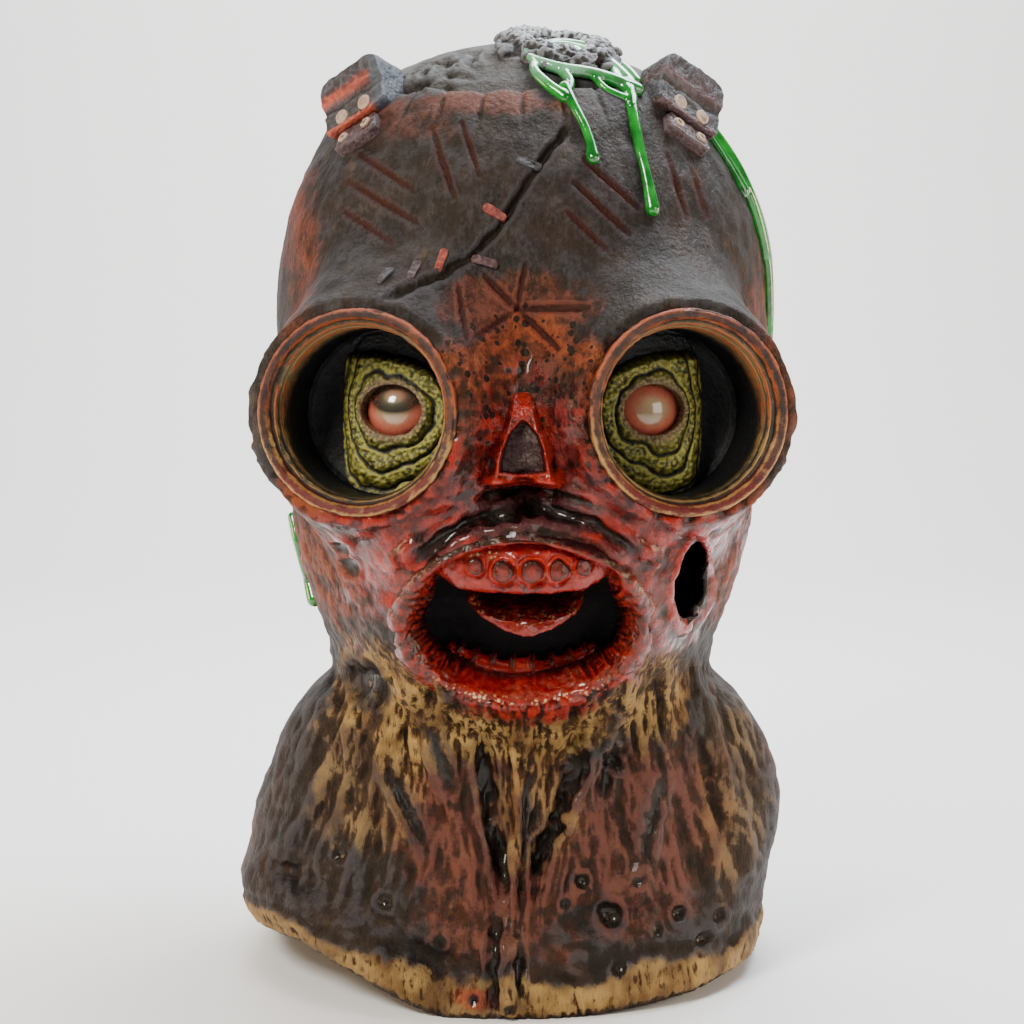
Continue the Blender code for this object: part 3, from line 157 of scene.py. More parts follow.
def hashed(cell, seed):
    """A random number from 0 to 1 for each whole-number place."""
    mixed = cell[..., 0] * 374761393 + cell[..., 1] * 668265263 + cell[..., 2] * 1442695041
    mixed = (mixed + seed * 974711) & 0xFFFFFFFF
    mixed = ((mixed ^ (mixed >> 15)) * 1274126177) & 0xFFFFFFFF
    return (mixed ^ (mixed >> 16)) / 4294967296.0


def noise(places, size, seed=0):
    """Smooth noise from about -1 to 1 with lumps of a size."""
    at = np.asarray(places, float) / size
    cell = np.floor(at).astype(np.int64)
    inside = at - cell
    blend = inside**3 * (inside * (inside * 6 - 15) + 10)
    total = np.zeros(at.shape[:-1])
    for corner in np.ndindex(2, 2, 2):
        corner = np.array(corner)
        weight = np.prod(np.where(corner, blend, 1 - blend), -1)
        slope = sum(
            (hashed(cell + corner, seed + 31 * k) * 2 - 1) * (inside[..., k] - corner[k])
            for k in range(3)
        )
        total += weight * slope
    return total * 1.6


def fractal(places, size, octaves=3, seed=0):
    """Noise with finer and fainter noise on it."""
    return sum(noise(places, size / 2**k, seed + 7 * k) / 2**k for k in range(octaves))


def ridged(places, size, octaves=2, seed=0):
    """Noise with sharp crests, from 0 to about 1."""
    return 1.0 - np.abs(fractal(places, size, octaves, seed)) * 1.6


def cells(places, size, seed=0):
    """Distance from the middle of the nearest of many uneven cells."""
    at = np.asarray(places, float) / size
    home = np.floor(at).astype(np.int64)
    near = np.full(at.shape[:-1], 9.0)
    for shift in np.ndindex(3, 3, 3):
        cell = home + np.array(shift) - 1
        middle = np.stack([cell[..., k] + hashed(cell, seed + 17 * k) for k in range(3)], -1)
        near = np.minimum(near, np.linalg.norm(at - middle, axis=-1))
    return near


def blurred(field, reach):
    """A field of rows and columns with its detail below a reach in cells smoothed away."""
    for axis in (0, 1):
        padded = np.pad(field, [(reach, reach) if k == axis else (0, 0) for k in (0, 1)], "edge")
        total = np.cumsum(padded, axis)
        wide = np.take(total, range(2 * reach, total.shape[axis]), axis)
        low = np.take(total, range(0, total.shape[axis] - 2 * reach), axis)
        field = (wide - low) / (2 * reach)
    return field


def crests(amount, scale, reach=4):
    """How far each point of a relief stands over or under its surroundings, for the dry brush."""
    return np.clip((amount - blurred(amount, reach)) / scale, -1.5, 1.5)


print("noise at a place:", round(float(noise(np.array([[0.3, 0.7, 0.2]]), 1.0)[0]), 4))

# %% [markdown]
# ## Sheets
#
# Most pieces start as a grid from the Add menu, one of Blender's primitives. Its points are
# then moved in one go to where a formula puts them, as a sculptor pulls a sheet of clay over a
# form. Two edges that meet are merged, and Solidify gives a sheet its wall.

# %% Sheets from a grid
def operate(piece):
    """Makes a piece the only selected and active object, for the operators that follow."""
    bpy.ops.object.select_all(action="DESELECT")
    piece.select_set(True)
    bpy.context.view_layer.objects.active = piece


def grid_line(places):
    """Which line of a grid from -1 to 1 each point lies on."""
    lines = len(np.unique(places.round(5)))
    return np.rint((places + 1) / 2 * (lines - 1)).astype(int)


# How near two points must be to be merged, on an open seam and on a lathe piece.
SEAM_WELD, LATHE_WELD = 1e-6, 2e-5


def sheet(name, across, up, shape, weld=0.0):
    """A grid moved to shape(u, v), which gives points and named fields; u and v run 0 to 1."""
    bpy.ops.object.select_all(action="DESELECT")
    bpy.ops.mesh.primitive_grid_add(x_subdivisions=across, y_subdivisions=up, size=2)
    piece = bpy.context.object
    piece.name = piece.data.name = name
    mesh = piece.data
    flat = np.empty(len(mesh.vertices) * 3, np.float32)
    mesh.vertices.foreach_get("co", flat)
    flat = flat.reshape(-1, 3)
    columns, rows = grid_line(flat[:, 0]), grid_line(flat[:, 1])
    u, v = np.meshgrid(np.linspace(0, 1, columns.max() + 1), np.linspace(0, 1, rows.max() + 1))
    points, fields = shape(u, v)
    mesh.vertices.foreach_set("co", points[rows, columns].astype(np.float32).ravel())
    for field, values in fields.items():
        layer = mesh.attributes.new(field, "FLOAT", "POINT")
        layer.data.foreach_set("value", values[rows, columns].astype(np.float32))
    mesh.update()
    if weld:
        bpy.ops.object.mode_set(mode="EDIT")
        bpy.ops.mesh.select_all(action="SELECT")
        bpy.ops.mesh.remove_doubles(threshold=weld)
        bpy.ops.object.mode_set(mode="OBJECT")
    mesh.shade_smooth()
    return piece


def modify(piece, kind, **settings):
    """Adds a modifier, sets it up and applies it."""
    operate(piece)
    change = piece.modifiers.new(kind.lower(), kind)
    for setting, value in settings.items():
        setattr(change, setting, value)
    bpy.ops.object.modifier_apply(modifier=change.name)


def finish_piece(piece, material, slot, *nodes):
    """Gives a piece its paint, its body and the nodes that it stands for; the slot argument is not used."""
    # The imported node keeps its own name, so the finished piece gets another.
    piece.name = piece.data.name = "fine_" + piece.name.split(".")[0]
    piece.data.materials.clear()
    piece.data.materials.append(material)
    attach(piece, "root")
    if nodes:
        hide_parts(*nodes)
    piece.data.calc_loop_triangles()
    print(piece.name, len(piece.data.loop_triangles), "triangles")


# %% [markdown]
# ## The form of the hood
#
# The hood is a stack of rounded sections. Two hills rise from it to the eyepieces, and a muzzle
# rises round the mouth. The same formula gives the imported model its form, so the fine surface
# lies on the solid, and every piece that sits on the latex finds its seat here.

# %% Sections and hills
def dense_sections(steps=600):
    """The section table read at many even stations with a smooth curve through its rows."""
    rows = np.array(SECTION_ROWS)
    rows = rows * [MASK_HEIGHT, HEAD_WIDTH / 2, FACE_DEPTH, BACK_DEPTH, 1.0, HEAD_WIDTH]
    run = np.sqrt((np.diff(rows[:, :3], axis=0) ** 2).sum(1))
    station = np.concatenate([[0.0], np.cumsum(run)])
    slopes = np.gradient(rows, station, axis=0)
    at = np.linspace(0.0, station[-1], steps)
    low = np.clip(np.searchsorted(station, at, side="right") - 1, 0, len(rows) - 2)
    width = (station[low + 1] - station[low])[:, None]
    t = ((at - station[low])[:, None]) / width
    start, end = rows[low], rows[low + 1]
    out, into = slopes[low] * width, slopes[low + 1] * width
    curve = (2 * t**3 - 3 * t**2 + 1) * start + (t**3 - 2 * t**2 + t) * out
    curve += (3 * t**2 - 2 * t**3) * end + (t**3 - t**2) * into
    curve[:, 1:4] = np.maximum(curve[:, 1:4], 0.0)
    return at / station[-1], curve


STATIONS, SECTIONS = dense_sections()
SECTION_HEIGHTS = np.maximum.accumulate(SECTIONS[:, 0])


def section_at(height, column):
    """A column of the section table at a height."""
    return np.interp(height, SECTION_HEIGHTS, SECTIONS[:, column])


def cup_axis(side):
    """Outward direction of an eyepiece; side is -1 for the left of the picture."""
    level = math.cos(CUP_TILT)
    return np.array([side * math.sin(CUP_TURN) * level, -math.cos(CUP_TURN) * level, math.sin(CUP_TILT)])


def cup_centre(side):
    """Middle of an eyepiece's front rim, from the head's axis."""
    return np.array([side * CUP_SPACING / 2, -CUP_FRONT, CUP_HEIGHT])


def hill_radius(bearing, height, side):
    """How far out the hood is drawn to meet an eyepiece."""
    axis = cup_axis(side)
    centre = cup_centre(side) - axis * CUP_PROUD
    ray = np.stack([np.sin(bearing), -np.cos(bearing), np.zeros_like(bearing)], -1)
    facing = ray @ axis
    start = np.stack([np.zeros_like(height), np.zeros_like(height), height], -1)
    reach = ((centre - start) @ axis) / np.maximum(facing, 0.3)
    off_axis = np.linalg.norm(start + ray * reach[..., None] - centre, axis=-1)
    beyond = np.maximum(off_axis - (CUP_RADIUS + HILL_BORDER), 0.0)
    return np.where(facing > 0.3, reach - HILL_SLOPE * beyond, 0.0)


def blended_max(first, second, width):
    """The larger of two radii, rounded over where they are near each other."""
    share = np.clip(0.5 + 0.5 * (first - second) / width, 0.0, 1.0)
    return second + (first - second) * share + width * share * (1.0 - share)


def stroke(x, z, start, end, half):
    """How near each place is to a line, 1 on it and 0 beyond its half width, and how far along."""
    run_x, run_z = end[0] - start[0], end[1] - start[1]
    along = ((x - start[0]) * run_x + (z - start[1]) * run_z) / (run_x**2 + run_z**2)
    near = np.clip(along, 0.0, 1.0)
    away = np.hypot(x - start[0] - near * run_x, z - start[1] - near * run_z)
    return np.clip(1.0 - away / half, 0.0, 1.0), near


def hood_radius(bearing, height):
    """Distance from the upright axis to the hood's outer face."""
    half, front, back, fullness = (section_at(height, column) for column in (1, 2, 3, 4))
    depth = np.where(np.cos(bearing) > 0, front, back)
    across = np.abs(np.sin(bearing)) / np.maximum(half, 1e-6)
    along = np.abs(np.cos(bearing)) / np.maximum(depth, 1e-6)
    radius = (across**fullness + along**fullness) ** (-1.0 / fullness)
    for side in (-1, 1):
        radius = blended_max(radius, hill_radius(bearing, height, side), HILL_BLEND)
    x = radius * np.sin(bearing)
    relief = np.zeros_like(x)
    for x0, z0, x1, z1, half, rise in FOLD_ROWS:
        start = (x0 * HEAD_WIDTH, z0 * MASK_HEIGHT)
        end = (x1 * HEAD_WIDTH, z1 * MASK_HEIGHT)
        relief += rise * LATEX_WALL * eased(stroke(x, height, start, end, half * HEAD_WIDTH)[0])
    upward = (height - MOUTH_HEIGHT) / (MOUTH_HALF_HEIGHT + LIP_HALF)
    oval = np.hypot(x / (MOUTH_HALF_WIDTH + LIP_HALF), upward)
    relief += MUZZLE_BULGE * eased(1.0 - (oval - 0.75) / 0.80)
    return radius + eased(np.cos(bearing) / 0.35) * relief


def hood_base(bearing, height):
    """Points of the plain hood from the head's axis, by bearing and height above its rim."""
    radius = hood_radius(bearing, height)
    rows = np.array(RIM_ROWS)
    turned = (np.degrees(bearing) + 180) % 360 - 180
    lift = np.interp(turned, rows[:, 0], rows[:, 1]) * MASK_HEIGHT
    lift = lift * eased(1.0 - height / (0.16 * MASK_HEIGHT))
    x = radius * np.sin(bearing) + section_at(height, 5)
    return np.stack([x, -radius * np.cos(bearing), height + lift], -1)


def hood_normals(bearing, station):
    """Outward directions of the plain hood, from neighbours a short step away."""
    step = 0.004

    def at(shift_bearing, shift_station):
        height = np.interp(np.clip(station + shift_station, 0, 1), STATIONS, SECTIONS[:, 0])
        return hood_base(bearing + shift_bearing, height)

    across = at(step, 0.0) - at(-step, 0.0)
    upward = at(0.0, step) - at(0.0, -step)
    normals = np.cross(across, upward)
    length = np.linalg.norm(normals, axis=-1, keepdims=True)
    crown = np.array([0.0, 0.0, 1.0])
    return np.where(length > 1e-9, normals / np.maximum(length, 1e-9), crown)


print("hood radius at the brow:", round(float(hood_radius(np.array([0.0]), np.array([0.29]))[0]), 4))

# %% [markdown]
# ## What is carved into the latex
#
# On the real mask a sculptor cut and pressed these marks into clay. They are short tables in
# millimetres across and up the front view, from the head's axis, and one function turns them
# into relief. Raised marks go out along the surface's normal and cut marks go in.

# %% Marks of the sculptor
# Forehead seam, from its upper end.
SEAM_PATH = ((17, 361), (3, 343), (-9, 323), (-20, 312), (-32, 304), (-53, 296))
# Columns: start x and z, end x and z, half width, depth.
SLASH_ROWS = (
    (-66, 352, -44, 338, 1.6, 1), (-70, 341, -42, 325, 1.7, 1.1), (-73, 330, -52, 317, 1.4, 0.9),
    (-36, 362, -27, 335, 1.6, 1), (-24, 364, -17, 343, 1.4, 0.9), (24, 349, 46, 330, 1.6, 1),
    (20, 340, 42, 320, 1.7, 1.2), (17, 329, 33, 314, 1.4, 0.9), (58, 352, 66, 326, 1.6, 1),
    (68, 347, 75, 327, 1.4, 0.8), (-2, 291, 14, 276, 1.8, 1.5), (-2, 291, 25, 292, 1.7, 1.4),
    (-2, 291, -15, 304, 1.7, 1.3), (-2, 291, 1, 309, 1.5, 1.2), (-2, 291, -17, 281, 1.6, 1),
    (-25, 300, -22, 281, 1.4, 1.2),
)
# Torn channels of the neck and folds under the nose, in the same columns. The folds are black, dark paint
# with painted shade in them.
CHANNEL_ROWS = (
    (-17, 108, -13, 80, 5.5, 3.6), (-13, 80, -8, 52, 4.5, 3.2), (25, 106, 17, 84, 5.0, 3.6),
    (17, 84, 6, 58, 4.5, 3.2), (4, 96, 2, 62, 3.0, 1.6), (-11, 38, -12, 2, 3.6, 2.4),
    (-2, 33, -1, 8, 3.0, 2.2), (-38, 118, -30, 92, 4.0, 2.0), (42, 116, 34, 88, 4.0, 2.0),
    (-56, 96, -40, 66, 4.0, 1.6), (58, 92, 50, 60, 4.0, 1.6),
)
ARCH_ROWS = (
    (-40, 196, -22, 209, 4.2, 1.8), (-22, 209, 4, 214, 4.6, 2.2), (4, 214, 28, 209, 4.6, 2.2),
    (28, 209, 43, 197, 4.2, 1.8), (-16, 218, 4, 221, 3.6, 1.6), (4, 221, 24, 217, 3.6, 1.6),
)
# Pits in the collar, a hole in the chin and small wounds. Columns: x, z, radius, depth.
PIT_ROWS = (
    (24.9, 52.9, 3.2, 2.4), (18.2, 44.1, 2.6, 2.0), (36.7, 38.3, 5.2, 3.0), (66.2, 36.6, 3.4, 2.4),
    (76.9, 25.2, 3.6, 2.4), (84.4, 32.2, 3.2, 2.2), (56.9, 31.5, 2.4, 1.8), (40.5, 17.6, 3.6, 2.4),
    (48.0, 52.0, 2.4, 1.6), (-19.8, 8.2, 2.6, 2.0), (-5.4, 4.8, 2.6, 2.0), (40.0, 100.4, 3.2, 2.6),
    (-64.0, 134.0, 10.0, 3.0), (-72.3, 196.0, 4.0, 2.2), (-69.5, 187.0, 4.5, 2.2),
    (-34.0, 30.0, 3.0, 1.8), (-58.0, 44.0, 3.4, 1.8), (-78.0, 60.0, 2.8, 1.6),
)
GASH_AT, GASH_HALF = (68.3, 182.6), (7.5, 17.5)
print("carved marks:", len(SLASH_ROWS) + len(CHANNEL_ROWS) + len(ARCH_ROWS) + len(PIT_ROWS))


# %% [markdown]
# ## Where the paint lies
#
# A mask painter lays zones of colour over each other with a sponge, so their edges are ragged.
# Each zone is a few soft ovals in the front view, broken up with noise. The result is stored
# on the points as named attributes, which the materials read.

# %% Zones of paint
# Columns: x, z, half width, half height, strength.
BLOOD_ROWS = (
    (2, 186, 66, 40, 1.0), (-44, 206, 30, 20, 0.9), (58, 196, 32, 26, 0.9), (3, 240, 22, 26, 0.9),
    (0, 136, 25, 12, 1.0), (64, 170, 16, 18, 0.8), (-20, 8, 10, 5, 0.6),
)
GOLD_ROWS = (
    (2, 118, 44, 18, 1.0), (-54, 130, 22, 30, 0.9), (54, 132, 15, 30, 0.75), (4, 84, 20, 26, 0.5),
    (-66, 92, 22, 30, 0.4), (90, 84, 14, 46, 0.3),
)
RUST_ROWS = (
    (6, 262, 32, 30, 0.95), (0, 292, 30, 13, 0.5), (-92, 316, 10, 34, 0.6), (102, 286, 10, 34, 0.6),
    (-76, 196, 22, 34, 0.85), (84, 190, 20, 36, 0.85), (-44, 366, 16, 8, 0.3), (-10, 372, 22, 5, 0.35),
    (88, 250, 20, 20, 0.4), (-8, 72, 44, 48, 0.42), (46, 76, 36, 44, 0.36),
)
# Black: the folds under the nose and their ends by the mouth's upper corners, dark paint with painted shade
# in the folds; splotches on the nose bridge; the hole in the chin; a painted shadow that the nose casts on
# its right; and painted shadows under the torn edges at the forehead's sides.
BLACK_ROWS = (
    (3, 214, 27, 5, 0.85), (4, 222, 20, 4, 0.6), (2, 207, 34, 4.5, 0.85), (-34, 200, 9, 6, 0.7),
    (38, 200, 9, 6, 0.7), (10, 262, 13, 11, 0.5), (-64, 134, 11, 13, 0.9), (16, 240, 5, 20, 0.5),
    (-84, 344, 6, 20, 0.6), (100, 316, 7, 22, 0.6),
)
SPLATTER_ROWS = ((8, 266, 36, 34, 1.0), (2, 236, 26, 20, 0.8))


def zone(rows, x, z, ragged):
    """A zone of soft ovals, with a ragged edge."""
    cover = np.zeros_like(x)
    for middle_x, middle_z, half_x, half_z, strength in rows:
        away = np.hypot((x / MM - middle_x) / half_x, (z / MM - middle_z) / half_z)
        cover = np.maximum(cover, strength * eased((1.25 - away + ragged) / 0.5))
    return cover


def carve(rows, x, z, wander, lip=0.35):
    """Relief of cut marks that taper to their ends, and a mask of their bottoms."""
    relief, mask = np.zeros_like(x), np.zeros_like(x)
    for x0, z0, x1, z1, half, depth in rows:
        start, end = (x0 * MM, z0 * MM), (x1 * MM, z1 * MM)
        near, along = stroke(x + wander, z - wander, start, end, 2 * half * MM)
        taper = 0.35 + 0.65 * np.sin(np.pi * np.clip(along, 0.02, 0.98)) ** 0.6
        inside = eased((near - 0.5) * 2.4 * taper)
        edge = eased(1.0 - np.abs(near - 0.46) / 0.3) * taper
        relief += depth * MM * (lip * edge - inside)
        mask = np.maximum(mask, np.maximum(inside, 0.6 * edge))
    return relief, mask


def gash_reach(x, z):
    """How far out a place in the front view lies from the slit's middle: 1 on its edge."""
    upward = (z / MM - GASH_AT[1]) / GASH_HALF[1]
    half = GASH_HALF[0] * (1 - 0.35 * np.clip(upward, -1, 1))
    return np.hypot((x / MM - GASH_AT[0]) / half, upward)


def flow_across(x, z):
    """Across the throat, where its ropes of skin run together downwards and part at the sides."""
    down = np.clip((0.132 - z) / 0.1, 0.0, 1.0)
    middle = np.exp(-((x / 0.035) ** 2))
    return x / (1.0 - 0.55 * down * middle + 0.45 * down * (1.0 - middle))


def sculpt(bearing, height, base):
    """Relief of the hood along its normals, and the fields that the paint reads."""
    x, z = base[..., 0], base[..., 2]
    front = eased(np.cos(bearing) / 0.3)
    ring = np.stack([np.sin(bearing), -np.cos(bearing)], -1) * HEAD_WIDTH / 2
    around = np.concatenate([ring, z[..., None]], -1)
    pleats = np.abs(np.sin(15.5 * bearing))
    warp = fractal(base, 0.012, 3, 5)
    coarse = fractal(base, 0.045, 3, 1)
    leather = eased((z - 0.268) / 0.02)
    leather = np.where(front > 0.5, leather, eased((z - 0.20) / 0.03))
    relief = 0.0009 * coarse + 0.0004 * fractal(base, 0.011, 3, 2)
    fields = {}

    # Pleated edge of the leather cap round the bald crown.
    edge = 0.377 + 0.0014 * pleats + 0.003 * noise(around, 0.03, 3)
    edge = edge - 0.012 * (1 - front)
    bald = eased((z - edge) / 0.0012)
    pleat = eased(1.0 - np.abs(z - edge + 0.006) / 0.012) * (1 - bald)
    relief += -0.0022 * bald + 0.0006 * pleat
    relief -= pleat * 0.0011 * eased(1.0 - pleats * 3.0)
    relief += leather * (1 - bald) * 0.00035 * ridged(base * [1, 1, 0.6], 0.016, 3, 4)

    # Crumpled skin between the left tab and the crown.
    crumple = np.linalg.norm(base - [-0.034, -0.046, 0.384], axis=-1) / 0.024
    crumple = eased(1.25 - crumple + 0.2 * coarse)
    relief += crumple * 0.0034 * (ridged(base * [1.0, 0.6, 1.6], 0.013, 3, 7) - 0.62)

    # Seam and slashes on the forehead.
    wander = 0.0007 * noise(base, 0.006, 6)
    seam_rows = [(*a, *b, 2.3, 2.6) for a, b in zip(SEAM_PATH, SEAM_PATH[1:])]
    seam, seam_mask = carve(seam_rows, x, z, wander, 0.25)
    cuts, cut_mask = carve(SLASH_ROWS, x, z, 0.5 * wander, 0.55)
    relief += front * (np.maximum(seam, -0.0024) + cuts)

    # Flesh of the cheeks and between the eyepieces.
    flesh = front * eased((z - 0.135) / 0.02) * (1 - eased((z - 0.262) / 0.03))
    relief += flesh * (0.0011 * fractal(base, 0.014, 3, 8) + 0.0004 * ridged(base, 0.006, 2, 9))
    arch, arch_mask = carve(ARCH_ROWS, x, z, 2 * wander, 0.7)
    relief += front * arch
    for side in (-1, 1):
        centre = cup_centre(side)
        off = np.linalg.norm(np.cross(base - centre, cup_axis(side)), axis=-1)
        torn = eased(1.0 - np.abs(off - CUP_RADIUS - 0.0022) / 0.003)
        torn = torn * eased((centre[2] + 0.008 - z) / 0.03) * front
        relief += 0.0012 * torn * (0.6 + fractal(base, 0.005, 2, 12))

    # Chin and throat: clotted fibres over ropes of skin.
    throat = front * eased((z - 0.026) / 0.03) * (1 - eased((z - 0.138 - 0.006 * warp) / 0.012))
    across = flow_across(x, z)
    rope_at = np.stack([across, base[..., 1] * 0.2, z * 0.13], -1)
    ropes = ridged(rope_at, 0.0105, 2, 14)
    fine_ropes = ridged(rope_at * [1, 1, 1.6], 0.0036, 2, 15)
    relief += throat * (0.0022 * (ropes - 0.6) + 0.0013 * (fine_ropes - 0.6))
    clots_and_glint_spots = throat * eased((z - 0.085) / 0.03)
    near = cells(np.stack([across, base[..., 1] * 0.5, z * 0.45], -1), 0.0034, 16)
    relief += clots_and_glint_spots * 0.0012 * (1.0 - near)
    cut, cut_black = carve(CHANNEL_ROWS, x, z, 2.5 * wander, 0.5)
    relief += front * cut

    # Bark of the collar.
    top = 0.017 + 0.006 * noise(around, 0.03, 20) + 0.003 * noise(around, 0.008, 21)
    bark = eased((top - height) / 0.004)
    bark_at = np.concatenate([ring, height[..., None] * 0.35], -1)
    relief += bark * (0.0009 + 0.0010 * (ridged(bark_at, 0.0042, 3, 22) - 0.6))
    relief -= 0.0008 * eased(1.0 - np.abs(height - top - 0.003) / 0.004)
    relief -= 0.0035 * eased((0.005 - height) / 0.005) ** 2
    collar = eased((0.115 - z) / 0.03)
    lumps = collar * (1 - bark) * (1 - throat)
    relief += lumps * (0.0016 * fractal(base, 0.02, 3, 23) - 0.0007 * ridged(base, 0.012, 2, 24))

    # Pits and the swollen edge of the slit in the cheek.
    pits = np.zeros_like(x)
    for pit_x, pit_z, radius, depth in PIT_ROWS:
        away = np.hypot(x - pit_x * MM, z - pit_z * MM) / (radius * MM) * (1 + 0.25 * warp)
        pits = np.maximum(pits, front * eased(1.15 - away))
        relief += front * depth * MM * (0.35 * eased(1 - np.abs(away - 1.25) / 0.5) - eased(1.3 - away))
    gash = gash_reach(x, z)
    relief += front * 0.0016 * eased(1 - np.abs(gash - 1.25) / 0.35) * (1 + 0.6 * warp)

    ragged = 0.28 * warp + 0.2 * fractal(base, 0.004, 2, 30) + 0.2 * coarse
    blood = front * zone(BLOOD_ROWS, x, z, ragged)
    gold = front * zone(GOLD_ROWS, x, z, ragged)
    gold = np.maximum(gold * (1 - blood), eased(bark + 0.25 * warp) * (0.85 + 0.3 * coarse))
    rust = zone(RUST_ROWS, x, z, ragged) * eased((np.cos(bearing) + 0.2) / 0.3)
    rust = np.maximum(rust, (1 - front) * eased((coarse - 0.15) / 0.7) * 0.42)
    # Black zones, with painted shade in the carved folds under the nose, and black in the seam, the pits
    # and the neck's channels.
    black = front * np.maximum(zone(BLACK_ROWS, x, z, ragged), 0.45 * arch_mask)
    black = np.maximum.reduce([black, seam_mask * front, pits, 0.9 * cut_black * front])
    # Painted shade: black round the slit, where it opens into the hood's dark inside.
    black = np.maximum(black, front * eased((1.1 - gash) / 0.2))
    fields["blood"] = blood
    fields["cut"] = cut_mask * front
    fields["gold"] = np.clip(gold, 0, 1)
    fields["rust"] = rust * (1 - blood)
    fields["black"] = np.clip(black, 0, 1)
    fields["wet"] = np.clip(np.maximum.reduce([blood, 0.8 * pits, 0.7 * cut_black * front]), 0, 1)
    fields["dots"] = front * zone(SPLATTER_ROWS, x, z, ragged)
    fields["bald"] = bald
    return relief, fields


# %% [markdown]
# ## Paint effects that several materials share
#
# Each effect is a node group with named sockets, built once. `painted zones` lays one colour
# over another by masks. `brushed relief` does what a painter does last: a dark wash settles in
# the recesses, and a nearly dry brush leaves colour on the ridges. `skin grain` is the fine
# surface that a sponge stipples into latex.

# %% Node helpers
def put(tree, kind, values=None, **settings):
    """A node with its settings, and its inputs given as values or as sockets to link."""
    made = tree.nodes.new("ShaderNode" + kind)
    for setting, value in settings.items():
        setattr(made, setting, value)
    for socket, value in (values or {}).items():
        if isinstance(value, bpy.types.NodeSocket):
            tree.links.new(value, made.inputs[socket])
        else:
            made.inputs[socket].default_value = value
    return made


def mixed(tree, share, first, second):
    """One colour laid over another by a share."""
    return put(tree, "Mix", {0: share, 6: first, 7: second}, data_type="RGBA").outputs[2]


def maths(tree, operation, first, second=0.0):
    """A sum, difference or other result of two values."""
    return put(tree, "Math", {0: first, 1: second}, operation=operation).outputs[0]


def times(tree, first, second):
    """The product of two values."""
    return maths(tree, "MULTIPLY", first, second)


def stepped(tree, value, low, high):
    """A smooth step of a value from 0 at low to 1 at high."""
    settings = {"Value": value, "From Min": low, "From Max": high}
    return put(tree, "MapRange", settings, interpolation_type="SMOOTHSTEP").outputs[0]


def field(tree, name):
    """A named field that a piece stores on its points."""
    return put(tree, "Attribute", attribute_name=name).outputs["Fac"]


def clouds(tree, scale, detail=2.0, rough=0.6):
    """Noise in the object's own coordinates."""
    place = put(tree, "TexCoord").outputs["Object"]
    values = {"Vector": place, "Scale": scale, "Detail": detail, "Roughness": rough}
    return put(tree, "TexNoise", values).outputs["Fac"]


def colour(red, green, blue):
    """A colour with full cover."""
    return (red, green, blue, 1.0)


def patches(tree, scale, low, high, first, second, detail=2.0, rough=0.6):
    """Two colours in cloudy patches of each other."""
    return mixed(tree, stepped(tree, clouds(tree, scale, detail, rough), low, high), first, second)


def group(name, inputs, outputs):
    """An empty node group with named sockets, its input node and its output node."""
    tree = bpy.data.node_groups.new(name, "ShaderNodeTree")
    for label, kind, value in inputs:
        socket = tree.interface.new_socket(label, in_out="INPUT", socket_type="NodeSocket" + kind)
        socket.default_value = value
    for label, kind in outputs:
        tree.interface.new_socket(label, in_out="OUTPUT", socket_type="NodeSocket" + kind)
    return tree, tree.nodes.new("NodeGroupInput"), tree.nodes.new("NodeGroupOutput")


def use(tree, shared, values):
    """A shared group placed in a material with its own values."""
    return put(tree, "Group", values, node_tree=shared)


print("node helpers are ready")

# %% Painted zones
ZONES = ("Bald", "Rust", "Gold", "Blood", "Black")
WHITE = colour(1, 1, 1)
zone_sockets = [("Ground", "Color", WHITE)] + [(name, "Color", WHITE) for name in ZONES]
zone_sockets += [(name + " mask", "Float", 0.0) for name in ZONES]
PAINTED_ZONES, zones_in, zones_out = group("painted zones", zone_sockets, [("Color", "Color")])
laid = zones_in.outputs["Ground"]
for name in ZONES:
    laid = mixed(PAINTED_ZONES, zones_in.outputs[name + " mask"], laid, zones_in.outputs[name])
PAINTED_ZONES.links.new(laid, zones_out.inputs["Color"])
print("painted zones:", len(PAINTED_ZONES.nodes), "nodes")

# %% Brushed relief
brush_sockets = [("Base", "Color", WHITE), ("Highlight", "Color", WHITE), ("Wash", "Color", WHITE)]
brush_sockets += [("Relief", "Float", 0.0), ("Brushing", "Float", 0.8), ("Washing", "Float", 0.8)]
brush_sockets += [("Scale", "Float", 300.0)]
brush_results = [("Color", "Color"), ("Ridge", "Float")]
BRUSHED, brush_in, brush_out = group("brushed relief", brush_sockets, brush_results)
broken = clouds(BRUSHED, brush_in.outputs["Scale"], 3.0, 0.75)
shifted = maths(BRUSHED, "ADD", brush_in.outputs["Relief"], times(BRUSHED, broken, 1.6))
lowered = maths(BRUSHED, "SUBTRACT", shifted, 0.3)
ridge = times(BRUSHED, stepped(BRUSHED, lowered, 0.20, 1.10), brush_in.outputs["Brushing"])
recess = times(BRUSHED, stepped(BRUSHED, lowered, 0.05, -0.75), brush_in.outputs["Washing"])
washed = mixed(BRUSHED, recess, brush_in.outputs["Base"], brush_in.outputs["Wash"])
brushed = mixed(BRUSHED, ridge, washed, brush_in.outputs["Highlight"])
BRUSHED.links.new(brushed, brush_out.inputs["Color"])
BRUSHED.links.new(ridge, brush_out.inputs["Ridge"])
print("brushed relief:", len(BRUSHED.nodes), "nodes")


def brush(tree, base, highlight, wash, brushing, washing, scale, relief=None):
    """The brushed relief placed in a material, over the piece's own relief unless told."""
    colours = {"Base": base, "Highlight": highlight, "Wash": wash}
    shares = {"Relief": relief or field(tree, "relief"), "Brushing": brushing, "Washing": washing}
    return use(tree, BRUSHED, colours | shares | {"Scale": scale})


